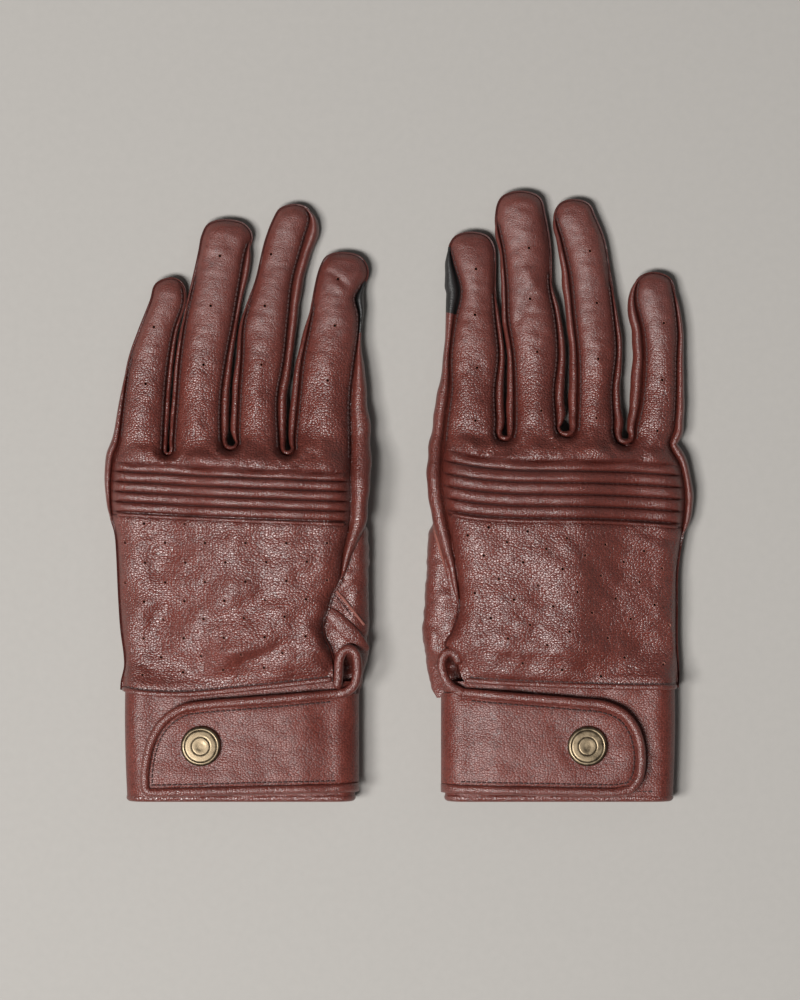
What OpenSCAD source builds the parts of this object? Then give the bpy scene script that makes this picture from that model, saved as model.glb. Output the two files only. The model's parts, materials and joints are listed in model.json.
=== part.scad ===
// A pair of leather driving gloves with ribbed knuckles and a snapped wrist strap.
// The pair lies palm down with the fingers towards +Y. Each glove is modelled as the
// left one, on the -X side, and the right glove is its mirror image with its own finger lay.

/* [Leather] */
// Thickness of the glove leather
leather_t = 1.1; // [0.9:0.1:1.2]
// Gap left along each seam between two cut pieces, in degrees round a section
seam_angle = 1; // [0.5:0.5:2]
// How boxy the flattened sleeves are, where 1 is an ellipse
boxiness = 0.8; // [0.7:0.05:1]

/* [Hand] */
// Distance from the middle of the pair to the little-finger edge at the knuckles
outer_x = 117; // [116:0.5:118]
// Distance from the middle of the pair to the thumb edge at the knuckles
inner_x = 12.5; // [11:0.5:14]
// Thickness of the flattened hand
hand_t = 14; // [13:0.5:15]
// How far the thumb that lies under the palm raises the hand
thumb_lift = 11.5; // [11.5:0.5:13]
// Half angle of the side strips, round the hand's section
strip_angle = 32; // [28:1:36]

/* [Knuckle pad] */
// Number of raised ribs across the knuckles
rib_count = 5; // [4:1:6]
// How far the ribs stand proud of the back of the hand
rib_proud = 1.9; // [1.6:0.1:2.2]
// Depth of the grooves between the ribs
rib_depth = 0.7; // [0.4:0.1:0.8]
// Edge of the pad towards the fingers
pad_front_y = 13; // [12:0.5:14]
// Edge of the pad towards the wrist
pad_rear_y = -9.5; // [-11:0.5:-8]

/* [Fingers] */
// Height of a finger sleeve at its root
finger_t = 14; // [13:0.5:14.5]
// Height of a finger sleeve near its tip
finger_tip_t = 12; // [11:0.5:13]
// Half angle of the gussets, round a finger's section
gusset_angle = 37; // [32:1:42]
// Clearance between the hand and the root of each finger
knuckle_gap = 1.3; // [1.2:0.1:2]
// Where the dark touch-screen tip begins, as a share of the index finger's straight part
touch_start = 0.72; // [0.6:0.02:0.85]

/* [Thumb] */
// Length of the thumb sleeve
thumb_len = 54; // [50:1:56]
// Width of the thumb sleeve at its root
thumb_w = 25; // [22:1:26]
// Height of the flattened thumb sleeve
thumb_t = 10.5; // [9.5:0.5:10.5]
// Angle by which the resting thumb points in under the palm
thumb_in = 33; // [28:1:36]

/* [Cuff] */
// Distance from the middle of the pair to the cuff's thumb edge
cuff_inner_x = 16.5; // [16:0.5:18]
// Width of the flattened cuff
cuff_w = 93.5; // [92:0.5:95]
// Thickness of the flattened cuff
cuff_t = 16; // [15:0.5:17]
// Thickness of the doubled cuff leather
cuff_wall = 1.6; // [1.4:0.1:1.8]
// Open edge of the cuff
cuff_end_y = -122; // [-124:0.5:-121]
// Seam between the cuff and the hand
cuff_seam_y = -76.5; // [-78:0.5:-75]
// Width of the piping along the open edge
hem_w = 2.8; // [2.4:0.2:3.2]

/* [Strap] */
// Distance from the middle of the pair to the strap's free end
strap_end_x = 98.5; // [96:0.5:100]
// Edge of the strap towards the fingers
strap_front_y = -78.5; // [-80:0.5:-78]
// Edge of the strap towards the open end of the cuff
strap_rear_y = -117; // [-118:0.5:-116]
// Thickness of the strap leather
strap_t = 1.6; // [1.4:0.1:1.8]
// Width and height of the strap's piping
piping_w = 3; // [2.6:0.1:3.2]
// Gap under the strap that the snap fills
strap_gap = 2.5; // [2.4:0.1:2.8]

/* [Snap] */
// Radius of the snap's cap
cap_r = 8; // [7.5:0.25:8.5]
// Height of the snap's cap
cap_t = 2.6; // [2.2:0.1:3]
// Radius of the stud's head
stud_r = 3; // [2.8:0.1:3.2]
// Radial play between the stud and its socket
snap_play = 0.3; // [0.2:0.05:0.4]

/* [Hidden] */
LEFT = 0;
RIGHT = 1;
$fn = 48;

// Colours
oxblood = [0.42, 0.17, 0.15];
oxblood_dark = [0.34, 0.13, 0.12];
touch_black = [0.05, 0.05, 0.06];
lining_red = [0.25, 0.10, 0.10];
foam_grey = [0.55, 0.55, 0.55];
old_brass = [0.50, 0.42, 0.27];

// Where the hand ends and the finger sleeves begin, for the left and the right glove
front_y = [20.5, 24];

// Finger lays of the left and the right glove, each with root x, tip x, tip y, root width
// and tip width, all measured as on a left glove
INDEX = 0;
MIDDLE = 1;
RING = 2;
PINKY = 3;
fingers = [
    [[-29, -22.8, 96.8, 24.5, 19.5], [-55.2, -40.8, 116, 22, 19.5],
     [-79.4, -70, 110, 22.4, 20], [-104.2, -91.2, 86.8, 21, 15.5]],
    [[-28.4, -28.2, 104.8, 24, 19.5], [-55.4, -48.4, 122, 21.5, 20.4],
     [-78.8, -72, 118.4, 21.4, 20], [-104, -101.2, 88.8, 20.5, 17]],
];

// Edges and thickness of the hand, looked up by y
outer_edge = [[cuff_seam_y, cuff_inner_x + cuff_w], [-60, outer_x - 5.5], [-41, outer_x - 4.6],
              [-17, outer_x - 2], [0, outer_x], [24, outer_x - 1.5]];
inner_edge = [[cuff_seam_y, cuff_inner_x], [-62, inner_x - 0.5], [-41, inner_x - 0.5],
              [0, inner_x], [24, inner_x + 3]];
thickness = [[cuff_seam_y, cuff_t], [-60, hand_t + 1], [-17, hand_t], [24, finger_t]];
lift_by_y = [[cuff_seam_y, 0], [-62, 1], [7, 1], [24, 0.4]];

snap_x = [-79.2, -74.6];
snap_y = -99.5;
shank_r = 1.5;
shank_play = 0.1;
post_r = 5.5;
post_t = 0.7;
socket_r = 6.2;

strap_z = cuff_t + strap_gap;
strap_root_x = -cuff_inner_x - 2.5;

// Across the hand, the share of the thumb's lift that the leather follows
function lift_share(across) = let(t = min(1, max(0, (across - 0.18) / 0.3))) t * t * (3 - 2 * t);
function lift(x, y) =
    let(outer = -lookup(y, outer_edge), inner = -lookup(y, inner_edge))
    thumb_lift * lookup(y, lift_by_y) * lift_share((x - outer) / (inner - outer));

// Cosine or sine pushed outwards, which turns an ellipse into a flattened sleeve
function boxy(c) = sign(c) * pow(abs(c), boxiness);

// Point on the hand at y, at an angle round the section and a depth under the leather's face
function hand_point(y, a, depth) =
    let(outer = -lookup(y, outer_edge), inner = -lookup(y, inner_edge), h = lookup(y, thickness),
        x = (outer + inner) / 2 + ((inner - outer) / 2 - depth) * boxy(cos(a)))
    [x, y, h / 2 + lift(x, y) + (h / 2 - depth) * boxy(sin(a))];

// Point on a closed sleeve along +Y. Its straight part is s from 0 to 1 and its round end 1 to 2.
function sleeve_point(size, s, a, depth) =
    let(length = size[0], end_r = size[5], straight = length - end_r, round = 88 * (s - 1),
        y = s <= 1 ? straight * s : straight + (end_r - depth) * sin(round),
        k = s <= 1 ? 1 : cos(round),
        w = size[1] + (size[2] - size[1]) * y / length,
        h = size[3] + (size[4] - size[3]) * y / length)
    [(w / 2 - depth) * k * boxy(cos(a)), y, (h / 2 - depth) * k * boxy(sin(a))];

// Evenly spaced values from a to b
function steps(a, b, n) = [for (i = [0:n]) a + (b - a) * i / n];
function hand_grid(ys, angles, depth) = [for (y = ys) [for (a = angles) hand_point(y, a, depth)]];
function sleeve_grid(size, ss, angles, depth) =
    [for (s = ss) [for (a = angles) sleeve_point(size, s, a, depth)]];

// Two triangles of a grid cell, turned to face outwards
function cell(a, b, c, d) = [[a, b, c], [a, c, d]];

// A closed sheet of leather between an outer and an inner grid of points
module sheet(outer, inner) {
    rows = len(outer);
    cols = len(outer[0]);
    under = rows * cols;
    function at(r, c) = r * cols + c;
    points = [for (grid = [outer, inner]) for (row = grid) each row];
    faces = [
        for (r = [0:rows - 2]) for (c = [0:cols - 2]) each concat(
            cell(at(r, c), at(r, c + 1), at(r + 1, c + 1), at(r + 1, c)),
            cell(under + at(r, c), under + at(r + 1, c), under + at(r + 1, c + 1),
                 under + at(r, c + 1))),
        for (c = [0:cols - 2]) each concat(
            cell(at(0, c), under + at(0, c), under + at(0, c + 1), at(0, c + 1)),
            cell(at(rows - 1, c + 1), under + at(rows - 1, c + 1), under + at(rows - 1, c),
                 at(rows - 1, c))),
        for (r = [0:rows - 2]) each concat(
            cell(at(r + 1, 0), under + at(r + 1, 0), under + at(r, 0), at(r, 0)),
            cell(at(r, cols - 1), under + at(r, cols - 1), under + at(r + 1, cols - 1),
                 at(r + 1, cols - 1))),
    ];
    polyhedron(points, faces);
}

// A piece of the hand, from y0 to y1 and from angle a0 to a1
module hand_piece(y0, y1, a0, a1, rows, cols, top = 0, thick = leather_t) {
    ys = steps(y0 + 0.1, y1 - 0.1, rows);
    angles = steps(a0 + seam_angle / 2, a1 - seam_angle / 2, cols);
    sheet(hand_grid(ys, angles, top), hand_grid(ys, angles, top + thick));
}

// A piece of a sleeve
module sleeve_piece(size, ss, a0, a1, cols) {
    angles = steps(a0 + seam_angle / 2, a1 - seam_angle / 2, cols);
    sheet(sleeve_grid(size, ss, angles, 0), sleeve_grid(size, ss, angles, leather_t));
}

// Puts a left glove's piece on its own side of the pair
module on_glove(glove) {
    mirror([glove == RIGHT ? 1 : 0, 0, 0]) children();
}

module back_upper(glove) {
    color(oxblood) on_glove(glove)
        hand_piece(pad_front_y, front_y[glove], strip_angle, 180 - strip_angle, 2, 12);
}

// Each rib is a round ridge across the hand, and the pad leather keeps one thickness
module knuckle_pad(glove) {
    rows = 4 * rib_count;
    ys = steps(pad_rear_y + 0.1, pad_front_y - 0.1, rows);
    angles = steps(strip_angle + seam_angle / 2, 180 - strip_angle - seam_angle / 2, 8);
    ridges = [for (i = [0:rows]) rib_depth * (1 - abs(sin(180 * i * rib_count / rows)))];
    color(oxblood) on_glove(glove) sheet(
        [for (i = [0:rows]) [for (a = angles) hand_point(ys[i], a, ridges[i] - rib_proud)]],
        [for (i = [0:rows]) [for (a = angles)
            hand_point(ys[i], a, ridges[i] - rib_proud + leather_t)]]);
}

module knuckle_foam(glove) {
    foam_top = rib_depth - rib_proud + leather_t + 0.3;
    foam_t = 0.9;
    color(foam_grey) on_glove(glove) hand_piece(pad_rear_y + 1, pad_front_y - 1,
        strip_angle, 180 - strip_angle, 8, 8, foam_top, foam_t);
}

module back_lower(glove) {
    color(oxblood) on_glove(glove)
        hand_piece(cuff_seam_y, pad_rear_y, strip_angle, 180 - strip_angle, 7, 12);
}

module palm(glove) {
    color(oxblood_dark) on_glove(glove) hand_piece(
        cuff_seam_y, front_y[glove], 180 + strip_angle, 360 - strip_angle, 9, 12);
}

module side_strips(glove) {
    color(oxblood_dark) on_glove(glove) {
        hand_piece(cuff_seam_y, front_y[glove], -strip_angle, strip_angle, 9, 4);
        hand_piece(cuff_seam_y, front_y[glove], 180 - strip_angle, 180 + strip_angle, 9, 4);
    }
}

// The lining is a bag open at the wrist and at the fingers, made as a back and a palm layer
module lining(glove) {
    depth = leather_t + 1.3;
    cloth_t = 0.5;
    color(lining_red) on_glove(glove) {
        hand_piece(cuff_seam_y, front_y[glove], 0, 180, 9, 18, depth, cloth_t);
        hand_piece(cuff_seam_y, front_y[glove], 180, 360, 9, 18, depth, cloth_t);
    }
}

// Outline of the flattened cuff, a bar with round ends, drawn in by an inset
module cuff_outline(inset) {
    r = cuff_t / 2;
    arc = steps(-90, 90, 12);
    translate([0, r]) polygon(concat(
        [for (a = arc) [-cuff_inner_x - r + (r - inset) * cos(a), (r - inset) * sin(a)]],
        [for (a = arc) [-cuff_inner_x - cuff_w + r - (r - inset) * cos(a), -(r - inset) * sin(a)]]));
}

// A ring of the cuff's section between two values of y
module cuff_ring(y0, y1, wall) {
    translate([0, y1, 0]) rotate([90, 0, 0]) linear_extrude(y1 - y0) difference() {
        cuff_outline(0);
        cuff_outline(wall);
    }
}

module cuff_band(glove) {
    lip_w = 1.5;
    color(oxblood) on_glove(glove) difference() {
        union() {
            cuff_ring(cuff_end_y + hem_w + 0.1, cuff_seam_y, cuff_wall);
            // The lip that the strap grows out of
            translate([-cuff_inner_x - lip_w, strap_rear_y, cuff_t / 2])
                cube([lip_w, strap_front_y - strap_rear_y, cuff_t / 2 + strap_gap]);
        }
        translate([snap_x[glove], snap_y, cuff_t - cuff_wall - 1])
            cylinder(h = cuff_wall + 2, r = shank_r + shank_play);
    }
}

module cuff_piping(glove) {
    color(oxblood_dark) on_glove(glove) cuff_ring(cuff_end_y, cuff_end_y + hem_w, hem_w);
}

// Quarter arc of a rounded corner
function corner(x, y, r, a0) = [for (a = steps(a0, a0 + 90, 6)) [x + r * cos(a), y + r * sin(a)]];

// Outline of the strap, square at its root and rounded at its free end
module strap_outline(inset) {
    root = strap_root_x + (inset > 0 ? 1 : 0);
    end = -strap_end_x + inset;
    front = strap_front_y - inset;
    rear = strap_rear_y + inset;
    front_r = 12 - inset;
    rear_r = 6 - inset;
    polygon(concat([[root, rear], [root, front]],
        corner(end + front_r, front - front_r, front_r, 90),
        corner(end + rear_r, rear + rear_r, rear_r, 180)));
}

module strap(glove) {
    color(oxblood) on_glove(glove) translate([0, 0, strap_z]) linear_extrude(strap_t)
        difference() {
            intersection() {
                strap_outline(piping_w + 0.1);
                translate([-strap_end_x, strap_rear_y])
                    square([strap_end_x + strap_root_x, strap_front_y - strap_rear_y]);
            }
            translate([snap_x[glove], snap_y]) circle(r = shank_r + shank_play);
        }
}

module strap_piping(glove) {
    color(oxblood_dark) on_glove(glove)
        translate([0, 0, strap_z + (strap_t - piping_w) / 2]) linear_extrude(piping_w)
            difference() {
                strap_outline(0);
                strap_outline(piping_w);
            }
}

// A raised rim, a flat ring and a raised middle disc, on a shank through the strap
module snap_cap(glove) {
    rim = 1.1;
    hub = 3.6;
    color(old_brass) on_glove(glove) translate([snap_x[glove], snap_y, strap_z + strap_t])
        rotate_extrude() polygon([[0, -strap_t], [shank_r, -strap_t], [shank_r, 0], [cap_r, 0],
            [cap_r, cap_t * 0.6], [cap_r - rim / 2, cap_t * 0.9], [cap_r - rim, cap_t * 0.7],
            [hub + rim, cap_t * 0.8], [hub, cap_t * 0.65], [hub - rim / 2, cap_t * 0.9],
            [hub - rim, cap_t], [0, cap_t]]);
}

module snap_socket(glove) {
    flange_gap = 0.65;
    color(old_brass) on_glove(glove) translate([snap_x[glove], snap_y, cuff_t + flange_gap])
        difference() {
            cylinder(h = strap_gap - flange_gap, r = socket_r);
            translate([0, 0, -1]) cylinder(h = strap_gap + 2, r = stud_r + snap_play);
        }
}

module snap_stud(glove) {
    flange_t = 0.3;
    color(old_brass) on_glove(glove) translate([snap_x[glove], snap_y, cuff_t]) {
        cylinder(h = flange_t, r = post_r);
        cylinder(h = strap_gap - 0.5, r = stud_r);
    }
}

module snap_post(glove) {
    color(old_brass) on_glove(glove)
        translate([snap_x[glove], snap_y, cuff_t - cuff_wall - post_t]) {
            cylinder(h = post_t, r = post_r);
            cylinder(h = post_t + cuff_wall, r = shank_r);
        }
}

// Root of a finger: its middle, kept clear of the hand
function finger_root(glove, f) =
    let(y = front_y[glove] + knuckle_gap + f[3] / 2 * abs(f[1] - f[0]) / (f[2] - front_y[glove]))
    [f[0], y, finger_t / 2 + lift(f[0], front_y[glove])];
function finger_tip(f) = [f[1], f[2], finger_tip_t / 2];
function finger_size(glove, f) =
    let(reach = finger_tip(f) - finger_root(glove, f))
    [norm(reach), f[3], f[4], finger_t, finger_tip_t, f[4] / 2];

// Lays a finger, made along +Y from the origin, from its root to its tip
module lay_finger(glove, f) {
    root = finger_root(glove, f);
    reach = finger_tip(f) - root;
    on_glove(glove) translate(root)
        rotate([asin(reach[2] / norm(reach)), 0, -atan2(reach[0], reach[1])]) children();
}

// Rows along a sleeve from s0 to s1, closer together round the tip
function sleeve_rows(s0, s1) = concat([s0],
    [for (s = [0.25, 0.5, 0.75, 1, 1.25, 1.5, 1.75]) if (s > s0 + 0.1 && s < s1 - 0.1) s], [s1]);

module finger_back(glove, i) {
    f = fingers[glove][i];
    color(oxblood) lay_finger(glove, f) sleeve_piece(finger_size(glove, f), sleeve_rows(0, 2),
        gusset_angle, 180 - gusset_angle, 6);
}

module finger_front(glove, i) {
    f = fingers[glove][i];
    color(oxblood_dark) lay_finger(glove, f) sleeve_piece(finger_size(glove, f),
        sleeve_rows(0, i == INDEX ? touch_start : 2), 180 + gusset_angle, 360 - gusset_angle, 6);
}

// The strips between back and front. The index finger's outer one stops at the touch tip.
module finger_gussets(glove, i) {
    f = fingers[glove][i];
    size = finger_size(glove, f);
    color(oxblood_dark) lay_finger(glove, f) {
        sleeve_piece(size, sleeve_rows(0, i == INDEX ? touch_start : 2),
            -gusset_angle, gusset_angle, 3);
        sleeve_piece(size, sleeve_rows(0, 2), 180 - gusset_angle, 180 + gusset_angle, 3);
    }
}

module touch_tip(glove) {
    f = fingers[glove][INDEX];
    color(touch_black) lay_finger(glove, f) sleeve_piece(finger_size(glove, f),
        sleeve_rows(touch_start + 0.005, 2), 180 + gusset_angle, 360 + gusset_angle, 8);
}

thumb_root = [-cuff_inner_x - thumb_w / 2 + 6, -54, thumb_t / 2];
thumb_size = [thumb_len, thumb_w, thumb_w - 4, thumb_t, thumb_t - 1, thumb_w / 2 - 2];

module thumb_half(glove, a0) {
    on_glove(glove) translate(thumb_root) rotate([0, 0, thumb_in])
        sleeve_piece(thumb_size, sleeve_rows(0, 2), a0, a0 + 180, 9);
}

module thumb_back(glove) {
    color(oxblood) thumb_half(glove, 0);
}

module thumb_front(glove) {
    color(oxblood_dark) thumb_half(glove, 180);
}

back_upper(LEFT);  // left_back_upper
knuckle_pad(LEFT);  // left_knuckle_pad
knuckle_foam(LEFT);  // left_knuckle_foam
back_lower(LEFT);  // left_back_lower
palm(LEFT);  // left_palm
side_strips(LEFT);  // left_side_strips
lining(LEFT);  // left_lining
cuff_band(LEFT);  // left_cuff_band
cuff_piping(LEFT);  // left_cuff_piping
strap(LEFT);  // left_strap
strap_piping(LEFT);  // left_strap_piping
snap_cap(LEFT);  // left_snap_cap
snap_socket(LEFT);  // left_snap_socket
snap_stud(LEFT);  // left_snap_stud
snap_post(LEFT);  // left_snap_post
finger_back(LEFT, INDEX);  // left_index_back
finger_front(LEFT, INDEX);  // left_index_front
finger_gussets(LEFT, INDEX);  // left_index_gussets
touch_tip(LEFT);  // left_index_touch_tip
finger_back(LEFT, MIDDLE);  // left_middle_back
finger_front(LEFT, MIDDLE);  // left_middle_front
finger_gussets(LEFT, MIDDLE);  // left_middle_gussets
finger_back(LEFT, RING);  // left_ring_back
finger_front(LEFT, RING);  // left_ring_front
finger_gussets(LEFT, RING);  // left_ring_gussets
finger_back(LEFT, PINKY);  // left_pinky_back
finger_front(LEFT, PINKY);  // left_pinky_front
finger_gussets(LEFT, PINKY);  // left_pinky_gussets
thumb_back(LEFT);  // left_thumb_back
thumb_front(LEFT);  // left_thumb_front
back_upper(RIGHT);  // right_back_upper
knuckle_pad(RIGHT);  // right_knuckle_pad
knuckle_foam(RIGHT);  // right_knuckle_foam
back_lower(RIGHT);  // right_back_lower
palm(RIGHT);  // right_palm
side_strips(RIGHT);  // right_side_strips
lining(RIGHT);  // right_lining
cuff_band(RIGHT);  // right_cuff_band
cuff_piping(RIGHT);  // right_cuff_piping
strap(RIGHT);  // right_strap
strap_piping(RIGHT);  // right_strap_piping
snap_cap(RIGHT);  // right_snap_cap
snap_socket(RIGHT);  // right_snap_socket
snap_stud(RIGHT);  // right_snap_stud
snap_post(RIGHT);  // right_snap_post
finger_back(RIGHT, INDEX);  // right_index_back
finger_front(RIGHT, INDEX);  // right_index_front
finger_gussets(RIGHT, INDEX);  // right_index_gussets
touch_tip(RIGHT);  // right_index_touch_tip
finger_back(RIGHT, MIDDLE);  // right_middle_back
finger_front(RIGHT, MIDDLE);  // right_middle_front
finger_gussets(RIGHT, MIDDLE);  // right_middle_gussets
finger_back(RIGHT, RING);  // right_ring_back
finger_front(RIGHT, RING);  // right_ring_front
finger_gussets(RIGHT, RING);  // right_ring_gussets
finger_back(RIGHT, PINKY);  // right_pinky_back
finger_front(RIGHT, PINKY);  // right_pinky_front
finger_gussets(RIGHT, PINKY);  // right_pinky_gussets
thumb_back(RIGHT);  // right_thumb_back
thumb_front(RIGHT);  // right_thumb_front
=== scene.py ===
"""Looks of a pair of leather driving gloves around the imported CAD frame.

Lengths are in millimetres until a mesh is made. Both gloves are designed as one hand: u is the
distance from the middle of the pair, y runs from the cuff to the fingertips, and the left glove
is the mirror image of that design."""

import json
import math

import bmesh
import bpy
import numpy as np
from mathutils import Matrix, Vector
from mathutils.geometry import delaunay_2d_cdt


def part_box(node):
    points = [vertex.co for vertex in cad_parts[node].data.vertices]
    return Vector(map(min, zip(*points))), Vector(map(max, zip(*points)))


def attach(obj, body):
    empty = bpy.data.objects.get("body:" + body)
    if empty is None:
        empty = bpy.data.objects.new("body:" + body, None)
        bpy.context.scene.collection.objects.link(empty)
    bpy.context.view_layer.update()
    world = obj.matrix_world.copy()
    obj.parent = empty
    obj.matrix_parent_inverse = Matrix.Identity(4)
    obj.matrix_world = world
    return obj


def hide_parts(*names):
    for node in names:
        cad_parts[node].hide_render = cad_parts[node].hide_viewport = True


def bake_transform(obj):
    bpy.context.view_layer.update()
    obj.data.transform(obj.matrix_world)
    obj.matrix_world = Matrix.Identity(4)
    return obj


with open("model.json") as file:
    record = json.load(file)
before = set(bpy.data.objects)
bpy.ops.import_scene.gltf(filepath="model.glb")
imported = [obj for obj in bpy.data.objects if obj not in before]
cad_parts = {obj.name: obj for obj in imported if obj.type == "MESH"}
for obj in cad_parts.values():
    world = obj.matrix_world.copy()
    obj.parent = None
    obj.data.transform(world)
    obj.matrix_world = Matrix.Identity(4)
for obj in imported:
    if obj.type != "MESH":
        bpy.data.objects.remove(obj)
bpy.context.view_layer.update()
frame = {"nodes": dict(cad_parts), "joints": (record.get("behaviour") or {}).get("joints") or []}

MM = 0.001
# Thickness of the leather on the back of the hand
LEATHER_T = 1.1
FINGERS = ("pinky", "ring", "middle", "index")
# Corners under the strap that close the outline of the hand below its hem
WRIST = [(24, -92), (111, -92)]

# Height of the seams round the back of the hand, and of the palm's edge
SEAM_Z = 7.8
TIP_DROP = 2.4
PALM_EDGE_Z = 2.4
PALM_SAG = 0.26
# The leather's crown: its gain, the width over which it levels out, and its softness at a seam
CROWN_GAIN = 0.93
CROWN_WIDTH = 9.0
CROWN_SOFT = 2.2
# Rise of a finger's crown, beyond which the wider hand rises less
CROWN_FULL = 7.6
CROWN_SPARE = 0.42
# How far the thumb under the palm raises the hand
THUMB_LIFT = 11.5
RIBS = 5
WELT_W = 1.3
# How far the upper back laps over the first rib
PAD_LAP = -1.0
# Radius of the punched air holes, and the number of their corners
HOLE_R = 0.68
HOLE_SIDES = 10
# Spacing of the points along outlines, and how far inside a panel's edge its first row lies
STEP = 1.1
EDGE_ROW = 0.38
# How many points go across a roll, the thumb base, half the thumb and half the lining
ROLL_POINTS = 26
BASE_POINTS = 44
THUMB_POINTS = 27
LINING_POINTS = 40
# Radius of the cord round the strap, and the height of its middle
PIPING_R = 1.8
PIPING_Z = 20.0
# How far the strap's bend round the cuff's side reaches in from that side
STRAP_TURN = 9.5
# Height of the flattened cuff
CUFF_Z = 16.0

# The camera looks straight down: its sensor in mm, its distance from the gloves and the length
# that fills the picture's height, in metres
SENSOR = 36
VIEW_DISTANCE = 1.79
VIEW_HEIGHT = 0.4
# Each light: its name, place and size in metres, power in watts, and colour
LIGHTS = [("key", (-1.15, -0.50, 2.0), 0.6, 32.0, (1.0, 0.985, 0.965)),
          ("glint", (-0.50, -0.55, 2.0), 0.45, 28.0, (1.0, 0.985, 0.97)),
          ("fill", (1.8, 1.3, 2.0), 1.6, 3.0, (0.95, 0.97, 1.0))]

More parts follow.
